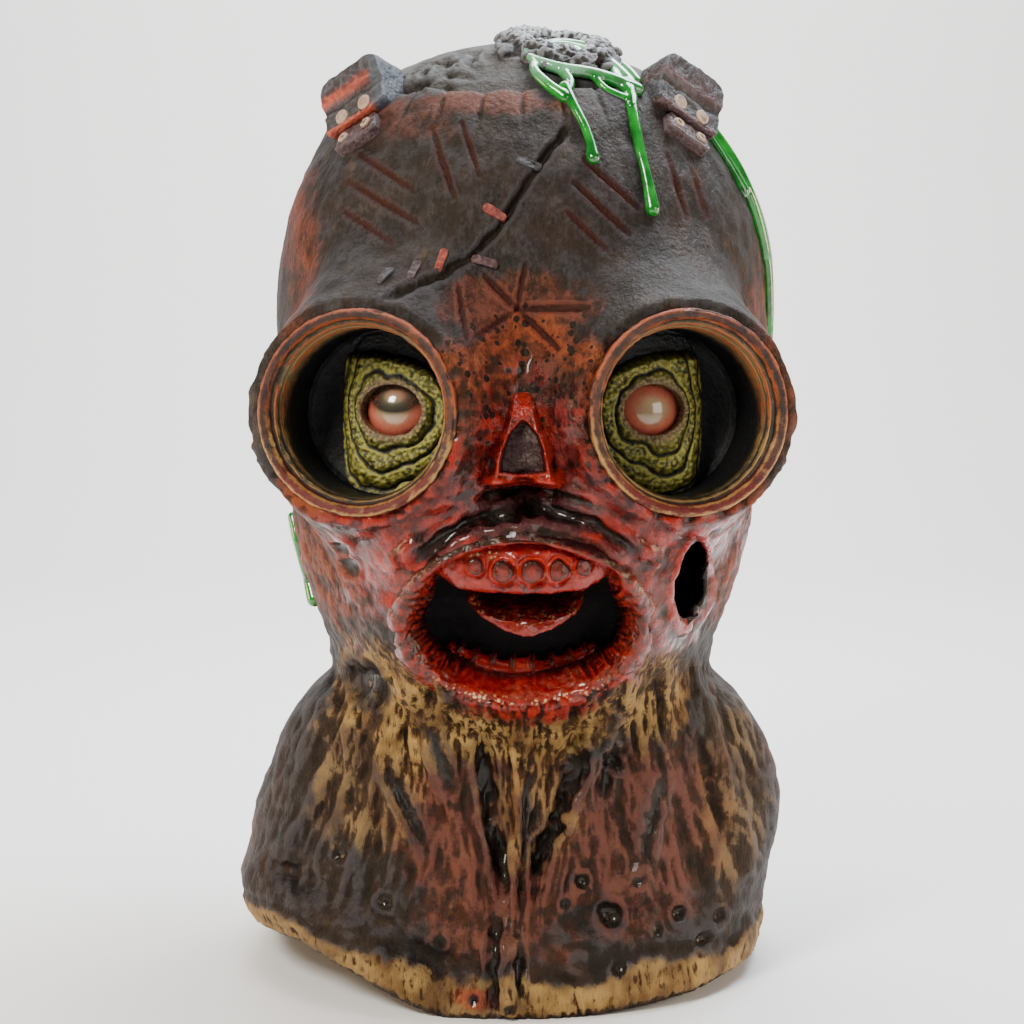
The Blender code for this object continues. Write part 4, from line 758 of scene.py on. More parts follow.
# %% Skin grain
GRAIN, grain_in, grain_out = group(
    "skin grain",
    [("Scale", "Float", 900.0), ("Depth", "Float", 0.4), ("Crease", "Float", 0.3)],
    [("Normal", "Vector")],
)
fine = clouds(GRAIN, grain_in.outputs["Scale"], 3.0, 0.7)
crease_at = put(GRAIN, "TexCoord").outputs["Object"]
crease_scale = times(GRAIN, grain_in.outputs["Scale"], 0.45)
crease = put(GRAIN, "TexVoronoi", {"Vector": crease_at, "Scale": crease_scale}).outputs["Distance"]
creased = times(GRAIN, stepped(GRAIN, crease, 0.8, 0.2), grain_in.outputs["Crease"])
height = maths(GRAIN, "ADD", fine, creased)
bump = put(GRAIN, "Bump", {"Strength": grain_in.outputs["Depth"], "Distance": 0.001, "Height": height})
GRAIN.links.new(bump.outputs["Normal"], grain_out.inputs["Normal"])
print("skin grain:", len(GRAIN.nodes), "nodes")


def grained(tree, scale, depth, crease):
    """The normal of the skin grain placed in a material."""
    values = {"Scale": scale, "Depth": depth, "Crease": crease}
    return use(tree, GRAIN, values).outputs["Normal"]


# %% [markdown]
# ## The hood's paint
#
# The ground is a nearly black brown. Rust, gold and blood lie over it in their zones, each with
# a brighter colour of its own for the dry brush. Wet blood is glossier than leather, so the
# zones also drive roughness and a clear coat, and black dots were flicked on with a stiff brush.

# %% Materials from a plan
def material(name, **constants):
    """A Principled BSDF material with constants set on the shader's own sockets."""
    made = bpy.data.materials.new(name)
    made.use_nodes = True
    shader = made.node_tree.nodes["Principled BSDF"]
    for socket, value in constants.items():
        shader.inputs[socket.replace("_", " ")].default_value = value
    return made, made.node_tree, shader


def join(tree, shader, **sockets):
    """Links values that change over the surface to the shader."""
    for socket, value in sockets.items():
        tree.links.new(value, shader.inputs[socket.replace("_", " ")])


LATEX, tree, shader = material(
    "painted latex", Coat_Roughness=0.11, Specular_IOR_Level=0.22, Specular_Tint=colour(1.0, 0.80, 0.55)
)
masks = {name + " mask": field(tree, name.lower()) for name in ZONES}
patchy = clouds(tree, 42.0, 4.0, 0.65)
ground = mixed(
    tree, stepped(tree, patchy, 0.42, 0.68), colour(0.006, 0.0055, 0.007), colour(0.018, 0.010, 0.008)
)
rusty = patches(tree, 160.0, 0.35, 0.65, colour(0.020, 0.006, 0.004), colour(0.085, 0.015, 0.006))
bloody = patches(tree, 95.0, 0.35, 0.7, colour(0.026, 0.001, 0.001), colour(0.125, 0.0014, 0.001))
base = use(tree, PAINTED_ZONES, masks | {
    "Ground": ground,
    "Bald": colour(0.030, 0.029, 0.029),
    "Rust": rusty,
    "Gold": colour(0.050, 0.021, 0.007),
    "Blood": bloody,
    "Black": colour(0.003, 0.002, 0.003),
})
bright = use(tree, PAINTED_ZONES, masks | {
    "Ground": colour(0.034, 0.032, 0.037),
    "Bald": colour(0.075, 0.077, 0.084),
    "Rust": colour(0.24, 0.045, 0.013),
    "Gold": patches(tree, 55.0, 0.35, 0.62, colour(0.15, 0.075, 0.022), colour(0.44, 0.27, 0.085)),
    "Blood": colour(0.31, 0.012, 0.004),
    "Black": colour(0.020, 0.018, 0.022),
})
place = put(tree, "TexCoord").outputs["Object"]
drawn = put(tree, "VectorMath", {0: place, 1: (1.0, 1.0, 0.17)}, operation="MULTIPLY").outputs["Vector"]
fibre_values = {"Vector": drawn, "Scale": 620.0, "Detail": 3.0, "Roughness": 0.65}
fibres = put(tree, "TexNoise", fibre_values).outputs["Fac"]
squat = put(tree, "VectorMath", {0: place, 1: (1.0, 1.0, 0.55)}, operation="MULTIPLY").outputs["Vector"]
clot = put(tree, "TexVoronoi", {"Vector": squat, "Scale": 400.0}).outputs["Distance"]
clotted = maths(tree, "SUBTRACT", 0.62, clot)
gold = field(tree, "gold")
fibrous = times(tree, maths(tree, "SUBTRACT", fibres, 0.5), 4.2)
lumpy = maths(tree, "ADD", fibrous, times(tree, clotted, 1.1))
fine = times(tree, lumpy, maths(tree, "ADD", times(tree, gold, 0.8), 0.16))
worked = brush(
    tree,
    base.outputs[0],
    bright.outputs[0],
    colour(0.004, 0.0025, 0.0025),
    0.85,
    0.92,
    420.0,
    maths(tree, "ADD", field(tree, "relief"), fine),
)
flicked = put(tree, "TexVoronoi", {"Vector": place, "Scale": 260.0, "Randomness": 1.0})
dot_size = times(tree, stepped(tree, clouds(tree, 130.0, 2.0), 0.32, 0.66), 0.46)
dots = maths(tree, "LESS_THAN", flicked.outputs["Distance"], dot_size)
dotted = mixed(
    tree, times(tree, dots, field(tree, "dots")), worked.outputs["Color"], colour(0.003, 0.002, 0.002)
)
scored = mixed(tree, times(tree, field(tree, "cut"), 0.85), dotted, colour(0.034, 0.004, 0.004))
wet = field(tree, "wet")
shine = times(tree, wet, stepped(tree, clouds(tree, 70.0), 0.30, 0.55))
dull = maths(tree, "SUBTRACT", 0.54, times(tree, shine, 0.36))
grain = grained(tree, 1100.0, 0.5, 0.35)
clotted_blood = times(tree, clouds(tree, 240.0, 3.0), times(tree, wet, 2.6))
folded = maths(tree, "ADD", fine, clotted_blood)
bump_values = {"Strength": 0.7, "Distance": 0.0010, "Height": folded, "Normal": grain}
raised = put(tree, "Bump", bump_values)
join(tree, shader, Base_Color=scored, Roughness=dull, Normal=raised.outputs["Normal"])
join(tree, shader, Coat_Weight=times(tree, shine, 0.6))
print("painted latex:", len(tree.nodes), "nodes")

# %% [markdown]
# ## The hood
#
# The real hood is one skin of latex with a faint mould line down each side. Here its front and
# its back are two sheets that meet at that line, because the face needs much finer detail than
# the back of the head. Faces inside the eyepieces, the mouth and the slit are selected by
# their place and deleted, and Solidify gives the skin its wall. The inner side is hardly seen,
# so Decimate thins it.

# %% Hood sheets
def hood_shape(bearing_at, station_at):
    """The shape of a stretch of the hood, for sheet()."""
    def shape(u, v):
        bearing, station = bearing_at(u), station_at(v)
        height = np.interp(station, STATIONS, SECTIONS[:, 0])
        base = hood_base(bearing, height)
        relief, fields = sculpt(bearing, height, base)
        fields["relief"] = 0.6 * crests(relief, 0.0006, 2) + 0.5 * crests(relief, 0.0010, 7)
        return base + hood_normals(bearing, station) * relief[..., None] + HEAD_AXIS, fields

    return shape


HOLE_HALF_WIDTH, HOLE_HALF_HEIGHT = 50.5, 36.5


def holes_in(middles):
    """Which places on the hood lie in an opening."""
    place = middles - HEAD_AXIS
    x, z = place[:, 0] / MM, place[:, 2] / MM
    front = place[:, 1] < -0.03
    oval = np.hypot(x / HOLE_HALF_WIDTH, (z - MOUTH_HEIGHT / MM) / HOLE_HALF_HEIGHT) < 1
    slit = gash_reach(place[:, 0], place[:, 2]) < 0.92
    open_here = front & (oval | slit)
    for side in (-1, 1):
        away = np.linalg.norm(np.cross(place - cup_centre(side), cup_axis(side)), axis=-1)
        open_here |= front & (away < CUP_RADIUS - 0.0016) & (side * x > 0)
    return open_here


def cut_holes(piece):
    """Deletes the faces in the openings and draws the slit's ragged edge onto its outline."""
    mesh = piece.data
    middles = np.empty(len(mesh.polygons) * 3)
    mesh.polygons.foreach_get("center", middles)
    chosen = holes_in(middles.reshape(-1, 3))
    operate(piece)
    bpy.ops.object.mode_set(mode="EDIT")
    bpy.ops.mesh.select_mode(type="FACE")
    bpy.ops.mesh.select_all(action="DESELECT")
    bpy.ops.object.mode_set(mode="OBJECT")
    mesh.polygons.foreach_set("select", chosen)
    bpy.ops.object.mode_set(mode="EDIT")
    bpy.ops.mesh.delete(type="FACE")
    bpy.ops.mesh.select_all(action="DESELECT")
    bpy.ops.mesh.select_mode(type="VERT")
    bpy.ops.mesh.select_non_manifold(extend=False)
    bpy.ops.object.mode_set(mode="OBJECT")
    for vertex in mesh.vertices:
        x = (vertex.co.x - HEAD_AXIS[0]) / MM - GASH_AT[0]
        z = vertex.co.z / MM - GASH_AT[1]
        away = float(gash_reach(vertex.co.x - HEAD_AXIS[0], vertex.co.z))
        if vertex.select and vertex.co.y < -0.03 and 0.5 < away < 1.4:
            vertex.co.x += x * MM * (1 / away - 1)
            vertex.co.z += z * MM * (1 / away - 1)


def give_wall(piece, wall, kept):
    """A wall on the inner side, with the piece thinned there to a share of its faces."""
    inner = piece.vertex_groups.new(name="inner")
    modify(piece, "SOLIDIFY", thickness=wall, offset=-1, shell_vertex_group="inner", use_rim=True)
    modify(piece, "DECIMATE", ratio=kept, vertex_group=inner.name, vertex_group_factor=8.0)
    piece.vertex_groups.clear()
    piece.data.shade_smooth()


FACE_COLUMNS, FACE_ROWS = 250, 320
BACK_COLUMNS, BACK_ROWS = 130, 190
FACE_INNER_KEPT, BACK_INNER_KEPT = 0.56, 0.6
hood_face = sheet(
    "hood_face",
    FACE_COLUMNS,
    FACE_ROWS,
    hood_shape(
        lambda u: math.pi / 2 * ((2 * u - 1) - 0.10 * np.sin(math.pi * (2 * u - 1))),
        lambda v: v + 0.04 * np.sin(2 * math.pi * v),
    ),
    weld=SEAM_WELD,
)
cut_holes(hood_face)
give_wall(hood_face, LATEX_WALL, FACE_INNER_KEPT)
finish_piece(hood_face, LATEX, "painted_latex", "hood")

# %% Back of the hood
hood_back = sheet(
    "hood_back",
    BACK_COLUMNS,
    BACK_ROWS,
    hood_shape(lambda u: math.pi * (0.5 + u), lambda v: v + 0.02 * np.sin(2 * math.pi * v)),
    weld=SEAM_WELD,
)
give_wall(hood_back, LATEX_WALL, BACK_INNER_KEPT)
finish_piece(hood_back, LATEX, "painted_latex", "hood")


# %% [markdown]
# ## Eyepieces
#
# Each eyepiece is a deep cup like the end of a lens tube. It is turned on a lathe: a section of
# radius and height is carried round the cup's axis. The rim is worn and chipped, so noise moves
# its points along their normals. The colours follow the photograph: a painted highlight on the rim,
# orange on the upper rim and gold on the lower one, and olive brown that is painted lighter on
# the upper wall and sinks to black deeper in and lower down as painted shade.

# %% Frames and turned pieces
def frame_at(origin, outward, upward=(0.0, 0.0, 1.0)):
    """A place with its right, up and outward directions, from the head's axis."""
    out = np.array(outward, float) / np.linalg.norm(outward)
    right = np.cross(upward, out)
    right = right / np.linalg.norm(right)
    return np.array(origin, float), np.stack([right, np.cross(out, right), out])


def placed(frame, x, y, z):
    """Points given in a frame, as points of the part."""
    origin, directions = frame
    return HEAD_AXIS + origin + np.stack(np.broadcast_arrays(x, y, z), -1) @ directions


def moved(frame, x, y, z):
    """The same frame at a place given in it."""
    origin, directions = frame
    return origin + np.array([x, y, z]) @ directions, directions


def swollen(points, amount):
    """Points of a sheet that closes on itself, moved out along their normals."""
    across, upward = np.gradient(points, axis=1), np.gradient(points, axis=0)
    normals = np.cross(across, upward)
    normals[:, 0] = normals[:, -1] = normals[:, 0] + normals[:, -1]
    length = np.linalg.norm(normals, axis=-1, keepdims=True)
    return points + normals / np.maximum(length, 1e-12) * amount[..., None]


def rows_at(rows, share):
    """A table read at a share of its rows, rounded a little at its corners."""
    table = np.array(rows, float)
    at = np.arange(len(table))
    read = []
    for column in table.T:
        near = [np.interp(share * (len(table) - 1) + shift, at, column) for shift in (-0.3, 0, 0.3)]
        read.append((near[0] + 2 * near[1] + near[2]) / 4)
    ends = (share == 0) | (share == 1)
    return [np.where(ends, np.interp(share * (len(table) - 1), at, c), r) for c, r in zip(table.T, read)]


def turned_shape(frame, rows, wear, grain=0.004):
    """Shape of a lathe piece from rows of radius, height and brush mark in millimetres."""
    def shape(u, v):
        angle = 2 * math.pi * u
        radius, height, mark = rows_at(rows, v)
        radius, height = radius * MM, height * MM
        points = placed(frame, radius * np.cos(angle), radius * np.sin(angle), height)
        rough = fractal(points, grain, 3, 41)
        chips = eased((noise(points, 3 * grain, 42) - 0.25) / 0.2) * np.maximum(mark, 0)
        amount = wear * (0.35 * rough - 1.6 * chips)
        fields = {"relief": np.clip(mark + 0.5 * rough - chips, -1.5, 1.5)}
        fields["depth"] = np.clip(-height / CUP_DEPTH, 0, 1)
        fields["up"] = np.sin(angle) * np.ones_like(v)
        return swollen(points, np.minimum(amount, 0.3 * MM)), fields

    return shape


# Section from the middle of the back round the rim to the middle of the floor.
GOGGLE_ROWS = (
    (0.0, -46.0, 0.0), (36.5, -46.0, 0.0), (37.6, -32.0, 0.0), (39.3, -12.0, 0.0), (40.0, -3.5, 0.0),
    (40.3, -1.6, -0.3), (39.9, -0.4, 0.9), (39.1, 0.3, 0.1), (38.1, 0.3, -0.5), (37.0, -0.3, -0.4),
    (36.2, -1.2, 0.7), (35.8, -2.4, -0.4), (35.5, -4.0, -0.9), (35.0, -4.7, -0.9), (34.5, -4.5, 0.8),
    (34.0, -5.0, 1.0), (33.8, -6.2, 0.0), (33.7, -8.2, -0.7), (33.2, -8.9, 0.5), (32.9, -9.8, 0.7),
    (32.9, -13.0, 0.0), (33.0, -18.0, 0.0), (33.1, -24.0, 0.0), (33.2, -31.0, 0.0), (33.3, -38.0, 0.0),
    (33.4, -43.2, 0.0), (0.0, -43.2, 0.0),
)

# %% Eyepiece paint
RIM_PAINT, tree, shader = material("eyepiece rim", Specular_IOR_Level=0.35)
up, depth = field(tree, "up"), field(tree, "depth")
patchy = clouds(tree, 150.0, 4.0, 0.65)
brown = mixed(
    tree, stepped(tree, patchy, 0.35, 0.7), colour(0.014, 0.008, 0.006), colour(0.075, 0.022, 0.010)
)
red = mixed(tree, stepped(tree, up, -0.35, -0.8), brown, colour(0.100, 0.006, 0.003))
# Painted light: the olive wall is lighter towards the top of the cup.
lit = mixed(tree, stepped(tree, up, -0.2, 0.7), colour(0.040, 0.031, 0.016), colour(0.17, 0.125, 0.055))
olive = mixed(tree, stepped(tree, depth, 0.05, 0.12), red, lit)
# Painted shade: the colour sinks to black deeper in the cup, sooner on its lower side.
deep = stepped(tree, maths(tree, "SUBTRACT", depth, times(tree, up, 0.16)), 0.10, 0.42)
base = mixed(tree, deep, olive, colour(0.0022, 0.0022, 0.0028))
# Painted highlight for the rim's crests: orange on the upper side, gold on the lower side; it too sinks to
# black deeper in.
painted_rim_highlight = mixed(tree, stepped(tree, up, 0.15, -0.45), colour(0.36, 0.075, 0.018), colour(0.46, 0.26, 0.075))
bright = mixed(tree, deep, painted_rim_highlight, colour(0.004, 0.004, 0.004))
worked = brush(tree, base, bright, colour(0.006, 0.004, 0.003), 0.7, 0.9, 700.0)
turning = put(tree, "Math", {0: times(tree, depth, 140.0)}, operation="SINE").outputs[0]
grain = grained(tree, 900.0, 0.5, 0.2)
rings = put(tree, "Bump", {"Strength": 0.35, "Distance": 0.0004, "Height": turning, "Normal": grain})
join(tree, shader, Base_Color=worked.outputs["Color"], Normal=rings.outputs["Normal"])
rough = maths(tree, "SUBTRACT", 0.52, times(tree, worked.outputs["Ridge"], 0.25))
join(tree, shader, Roughness=rough)
print("eyepiece rim:", len(tree.nodes), "nodes")

# %% Eyepieces
for side, suffix in ((-1, "left"), (1, "right")):
    cup_frame = frame_at(cup_centre(side), cup_axis(side))
    cup = turned_shape(cup_frame, GOGGLE_ROWS, 0.9 * MM)
    goggle = sheet("goggle_" + suffix, 190, 104, cup, weld=LATHE_WELD)
    finish_piece(goggle, RIM_PAINT, "eyepiece_rim", "goggle_" + suffix)

# %% [markdown]
# ## Lids and eyes
#
# A scaly pad lies on the floor of each cup and folds round the eye in rings, with painted shade
# in the black creases between them. Its lowered top is painted black, and its foot against the
# cup's wall is darkened as painted shade. It is a sheet from the pad's edge inwards to under the
# eye. The rings are a wave that noise bends, and cells of noise make the scales.

# %% Lids
LID_HALF_WIDTH, LID_HALF_HEIGHT, EYE_RADIUS, EYE_SUNK = 0.0126, 0.0102, 0.0145, 0.002
PAD_EDGE, PAD_CREST, PAD_WALL, PAD_CUT, PAD_TOP = 0.0035, 0.0102, 0.0331, 0.0225, 0.0185
# Where the eye's middle lies from the cup's, and how softly the pad's cut side is rounded.
EYE_ASIDE, EYE_UP, EYE_DEPTH, PAD_ROUND = 0.0052, 0.0010, 0.0429, 0.0030


def eye_frame(side):
    """The frame of an eye on the floor of its cup."""
    cup_frame = frame_at(cup_centre(side), cup_axis(side))
    return moved(cup_frame, -side * EYE_ASIDE, EYE_UP, -EYE_DEPTH)


def pad_reach(angle, side):
    """From the eye's middle to the pad's edge: the cup's wall, or its cut outer side."""
    half = -side * EYE_ASIDE * np.cos(angle) + EYE_UP * np.sin(angle)
    reach = -half + np.sqrt(half**2 - EYE_ASIDE**2 - EYE_UP**2 + PAD_WALL**2)
    outward = np.maximum(side * np.cos(angle), 1e-3)
    cut = PAD_CUT * (0.86 + 0.14 * outward) / outward
    return -PAD_ROUND * np.logaddexp(-reach / PAD_ROUND, -cut / PAD_ROUND)


def lids_shape(side):
    """Shape of the scaly pad, from its outer foot to its edge under the eye."""
    frame = eye_frame(side)

    def shape(u, v):
        angle = 2 * math.pi * u
        inside = 1.0 / np.hypot(np.cos(angle) / LID_HALF_WIDTH, np.sin(angle) / LID_HALF_HEIGHT)
        outside = pad_reach(angle, side)
        share = np.clip((0.93 - v) / 0.89, 0, 1)
        reach = inside + (outside - inside) * share
        x, y = reach * np.cos(angle), reach * np.sin(angle)
        flat = np.stack([x, y, np.full_like(x, side * 0.05)], -1)
        bent = share + 0.13 * fractal(flat, 0.016, 2, 51) + 0.045 * noise(flat, 0.006, 57)
        bent = bent + 0.035 * np.sin(2 * angle + side)
        wave = np.abs(np.sin(math.pi * (2.9 * bent + 0.30)))
        fold = wave**0.5
        near = cells(flat * [1.0, 1.0, 0.0] + [0, 0, 0.1], 0.0019, 52 + side)
        scales = (1 - near) * eased((wave - 0.25) / 0.3)
        crinkle = ridged(flat, 0.0032, 2, 54)
        amount = 1.9 * fold + 1.0 * scales + 0.5 * crinkle
        lift = np.interp(share, [0, 0.15, 0.36, 0.54, 0.78, 1], [0.84, 0.90, 0.66, 0.64, 0.40, 0.12])
        height = PAD_EDGE + PAD_CREST * lift + (amount - 1.4) * MM
        above = eased((y - 0.22 * side * x + 9.0 * x**2 - PAD_TOP) / 0.004) * eased((share - 0.3) / 0.2)
        height = height * (1 - above) + above * (0.0012 + 0.2 * height)
        ball = np.sqrt(EYE_RADIUS**2 - np.minimum(reach, 0.0143) ** 2) - EYE_SUNK
        curl = eased((v - 0.93) / 0.07)
        height = height * (1 - curl) + curl * (ball - 0.0008)
        height = height * eased(v / 0.04)
        # Painted shade: the crease field darkens the creases between the rings. The dark field paints the
        # lowered top black and darkens the foot against the cup's wall as painted shade.
        fields = {"relief": crests(amount, 0.45, 3), "crease": 1 - eased((wave - 0.09) / 0.34)}
        fields["dark"] = np.maximum(above, eased((share - 0.93) / 0.07))
        fields["near"] = 1 - eased(share / 0.22)
        return placed(frame, x, y, height), fields

    return shape


SCALY, tree, shader = material("scaly skin", Specular_IOR_Level=0.6)
mottle = stepped(tree, clouds(tree, 190.0, 4.0), 0.38, 0.66)
skin = mixed(tree, mottle, colour(0.040, 0.038, 0.006), colour(0.14, 0.13, 0.012))
skin = mixed(tree, times(tree, field(tree, "near"), 0.75), skin, colour(0.13, 0.075, 0.035))
bright = mixed(tree, field(tree, "near"), colour(0.42, 0.38, 0.055), colour(0.26, 0.16, 0.08))
worked = brush(tree, skin, bright, colour(0.010, 0.009, 0.003), 0.7, 0.95, 900.0)
# Painted shade in the creases, then the black top and the painted shade at the foot.
shaded = mixed(tree, field(tree, "crease"), worked.outputs["Color"], colour(0.004, 0.0035, 0.002))
shaded = mixed(tree, field(tree, "dark"), shaded, colour(0.002, 0.002, 0.0025))
grain = grained(tree, 1500.0, 0.5, 0.5)
join(tree, shader, Base_Color=shaded, Normal=grain)
rough = maths(tree, "SUBTRACT", 0.48, times(tree, worked.outputs["Ridge"], 0.2))
join(tree, shader, Roughness=rough)
for side, suffix in ((-1, "left"), (1, "right")):
    lids = sheet("eye_skin_" + suffix, 230, 86, lids_shape(side), weld=SEAM_WELD)
    finish_piece(lids, SCALY, "scaly_skin", "eye_skin_" + suffix)


# %% Eyes
def eye_shape(side, cloud_at, cloud):
    """The front of an eyeball, flat behind, with its stains."""
    frame = eye_frame(side)

    def shape(u, v):
        angle = 2 * math.pi * u
        low = math.asin(EYE_SUNK / EYE_RADIUS)
        tilt = low + (math.pi / 2 - low) * np.clip((v - 0.1) / 0.9, 0, 1)
        reach = EYE_RADIUS * np.cos(tilt) * np.clip(v / 0.1, 0, 1)
        height = EYE_RADIUS * np.sin(tilt) - EYE_SUNK
        x, y = reach * np.cos(angle), reach * np.sin(angle)
        away = np.hypot(0.62 * (x - cloud_at[0] * MM), y - cloud_at[1] * MM) / MM
        edge = np.hypot(x / LID_HALF_WIDTH, y / LID_HALF_HEIGHT)
        fields = {"edge": edge, "cloud": np.clip(1.5 * cloud * np.exp(-(((away - 4.6) / 2.5) ** 2)), 0, 1)}
        fields["core"] = cloud * np.exp(-((away / 3.0) ** 2))
        return placed(frame, x, y, height), fields

    return shape


WET_EYE, tree, shader = material("wet eye", Coat_Weight=1.0, Coat_Roughness=0.03, Roughness=0.16)
edge = maths(tree, "ADD", field(tree, "edge"), times(tree, clouds(tree, 260.0), 0.28))
ball = mixed(tree, stepped(tree, edge, 0.40, 0.95), colour(0.44, 0.30, 0.15), colour(0.50, 0.12, 0.075))
ball = mixed(tree, stepped(tree, edge, 0.95, 1.25), ball, colour(0.26, 0.012, 0.008))
ball = mixed(tree, times(tree, field(tree, "cloud"), 0.96), ball, colour(0.012, 0.014, 0.010))
ball = mixed(tree, times(tree, field(tree, "core"), 0.7), ball, colour(0.22, 0.20, 0.12))
vein_at = put(tree, "TexCoord").outputs["Object"]
veins = put(tree, "TexVoronoi", {"Vector": vein_at, "Scale": 330.0}, feature="DISTANCE_TO_EDGE")
vein = times(tree, stepped(tree, veins.outputs["Distance"], 0.05, 0.0), stepped(tree, edge, 0.45, 1.0))
ball = mixed(tree, times(tree, vein, 0.55), ball, colour(0.42, 0.03, 0.02))
join(tree, shader, Base_Color=ball)
for side, suffix, cloud_at, cloud in ((-1, "left", (0.8, 5.4), 1.0), (1, "right", (1.0, 3.0), 0.12)):
    eyeball = sheet("eyeball_" + suffix, 72, 44, eye_shape(side, cloud_at, cloud), weld=SEAM_WELD)
    finish_piece(eyeball, WET_EYE, "wet_eye", "eyeball_" + suffix)


# %% [markdown]
# ## Nose
#
# The nose has been cut away down to an arched hollow under a red apex, with torn nostril wings
# beside it and a wet red rim below. It is one sheet in the front view, drawn forward from the
# face by a table of heights down its length, and its edge runs into the latex.

# %% Nose
NOSE_TOP, NOSE_HEIGHT = 0.257, 0.033


def face_depth(x, z):
    """Y of the plain hood at places in the front view, from the head's axis."""
    bearing = np.arcsin(np.clip(x / 0.12, -0.95, 0.95))
    for _ in range(14):
        radius = hood_radius(bearing, z)
        bearing = 0.4 * bearing + 0.6 * np.arcsin(np.clip(x / radius, -0.99, 0.99))
    return -radius * np.cos(bearing)


# Columns: share down the nose, half width, how proud the ridges stand, half width of the hollow.
NOSE_ROWS = (
    (-0.10, 3.0, -1.5, 0.0), (0.00, 4.6, 3.0, 0.0), (0.10, 5.6, 6.2, 0.0), (0.22, 7.0, 7.4, 0.0),
    (0.30, 8.2, 8.0, 2.2), (0.42, 10.0, 9.2, 5.6), (0.58, 12.2, 10.8, 7.6), (0.74, 14.2, 12.4, 8.6),
    (0.83, 15.6, 13.2, 8.6), (0.88, 16.6, 13.8, 0.0), (0.96, 17.2, 14.2, 0.0), (1.03, 16.8, 10.0, 0.0),
    (1.10, 15.0, -1.5, 0.0),
)


def nose_shape(u, v):
    """The nose from its left edge to its right and from its base up."""
    share = 1.10 - 1.20 * v
    table = np.array(NOSE_ROWS)
    half, proud, hollow = (np.interp(share, table[:, 0], table[:, k]) for k in (1, 2, 3))
    across = (2 * u - 1) * 1.14
    flat = np.stack([across * half * MM, np.zeros_like(u), share * NOSE_HEIGHT], -1)
    wobble = fractal(flat, 0.009, 2, 61)
    x = across * half
    away = np.abs(across + 0.06 * wobble)
    relief = (proud + 1.5) * (1 - eased((away - 0.62) / 0.44)) - 1.5
    panel = eased((hollow * (1 + 0.05 * wobble) - np.abs(x)) / 1.6 + 0.5) * eased(hollow / 2.5)
    relief -= 4.4 * panel
    side_hole = eased(1 - np.hypot((np.abs(x) - 12.2) / 2.6, (share - 0.76) / 0.13))
    relief -= 4.0 * side_hole
    lower = eased(1 - np.abs(share - 0.95) / 0.09)
    nostril = eased(1.3 - np.hypot(x / 4.6, (share - 0.955) / 0.055))
    relief += 1.6 * lower * eased((1.05 - away) / 0.3) - 2.8 * nostril
    bulb = eased(1.2 - np.hypot((x + 0.4) / 5.0, (share - 0.13) / 0.14))
    lumps = 0.9 * fractal(flat, 0.0045, 3, 62) + 0.7 * bulb * ridged(flat, 0.003, 2, 63)
    relief += lumps * (1 - 0.5 * panel)
    z = NOSE_TOP - NOSE_HEIGHT * share
    y = face_depth(x * MM, z) - relief * MM
    fields = {"relief": crests(relief, 0.55, 4), "panel": panel, "black": side_hole}
    # Painted shadow: black along the nose's right edge, where the nose casts its shadow.
    fields["black"] = np.maximum(fields["black"], eased((away - 0.98) / 0.1) * (across > 0))
    fields["bright"] = np.clip(np.maximum(bulb, lower), 0, 1) * (1 - nostril)
    fields["streak"] = np.zeros_like(x)
    return np.stack([x * MM, y, z], -1) + HEAD_AXIS, fields


def flesh_paint(name, base, bright, hot, gloss):
    """Wet flesh: dark red under bright red on the crests, black in the cuts and in painted shade, and pale
    gold painted glints.
    """
    made, tree, shader = material(
        name, Coat_Roughness=0.08, Specular_IOR_Level=0.3, Specular_Tint=colour(1.0, 0.78, 0.50)
    )
    covered = times(tree, maths(tree, "MAXIMUM", field(tree, "panel"), field(tree, "black")), 0.55)
    join(tree, shader, Coat_Weight=maths(tree, "SUBTRACT", 0.60, covered))
    blotch = stepped(tree, clouds(tree, 120.0, 5.0, 0.65), 0.36, 0.64)
    skin = mixed(tree, blotch, base, colour(*[0.35 * channel for channel in base[:3]]))
    skin = mixed(tree, times(tree, field(tree, "bright"), 0.85), skin, bright)
    skin = mixed(tree, field(tree, "panel"), skin, colour(0.014, 0.005, 0.009))
    lit = mixed(tree, field(tree, "panel"), hot, colour(0.034, 0.018, 0.026))
    worked = brush(tree, skin, lit, colour(0.030, 0.002, 0.003), 0.6, 0.9, 500.0)
    # Black marks and painted shade: the black field, and the streak field's dark streaks and shade deeper
    # in.
    dark = maths(tree, "MAXIMUM", field(tree, "black"), times(tree, field(tree, "streak"), 0.9))
    shaded = mixed(tree, dark, worked.outputs["Color"], colour(0.006, 0.002, 0.003))
    # Painted glints: pale gold spots in small cells stand for glints on the wet flesh.
    glint_at = put(tree, "TexCoord").outputs["Object"]
    clots_and_glint_spots = put(tree, "TexVoronoi", {"Vector": glint_at, "Scale": 560.0}).outputs["Distance"]
    fat = times(tree, stepped(tree, clots_and_glint_spots, 0.46, 0.30), stepped(tree, clouds(tree, 330.0), 0.42, 0.52))
    shaded = mixed(tree, times(tree, fat, field(tree, "fat")), shaded, colour(0.62, 0.46, 0.20))
    grain = grained(tree, 800.0, 0.6, 0.2)
    join(tree, shader, Base_Color=shaded, Normal=grain)
    drier = times(tree, stepped(tree, clouds(tree, 210.0), 0.40, 0.65), 0.22)
    join(tree, shader, Roughness=maths(tree, "ADD", drier, gloss))
    return made


RAW_FLESH = flesh_paint(
    "raw flesh",
    colour(0.070, 0.001, 0.001),
    colour(0.20, 0.002, 0.002),
    colour(0.34, 0.014, 0.005),
    0.16,
)
nose = sheet("nose", 130, 150, nose_shape)
finish_piece(nose, RAW_FLESH, "raw_flesh", "nose")


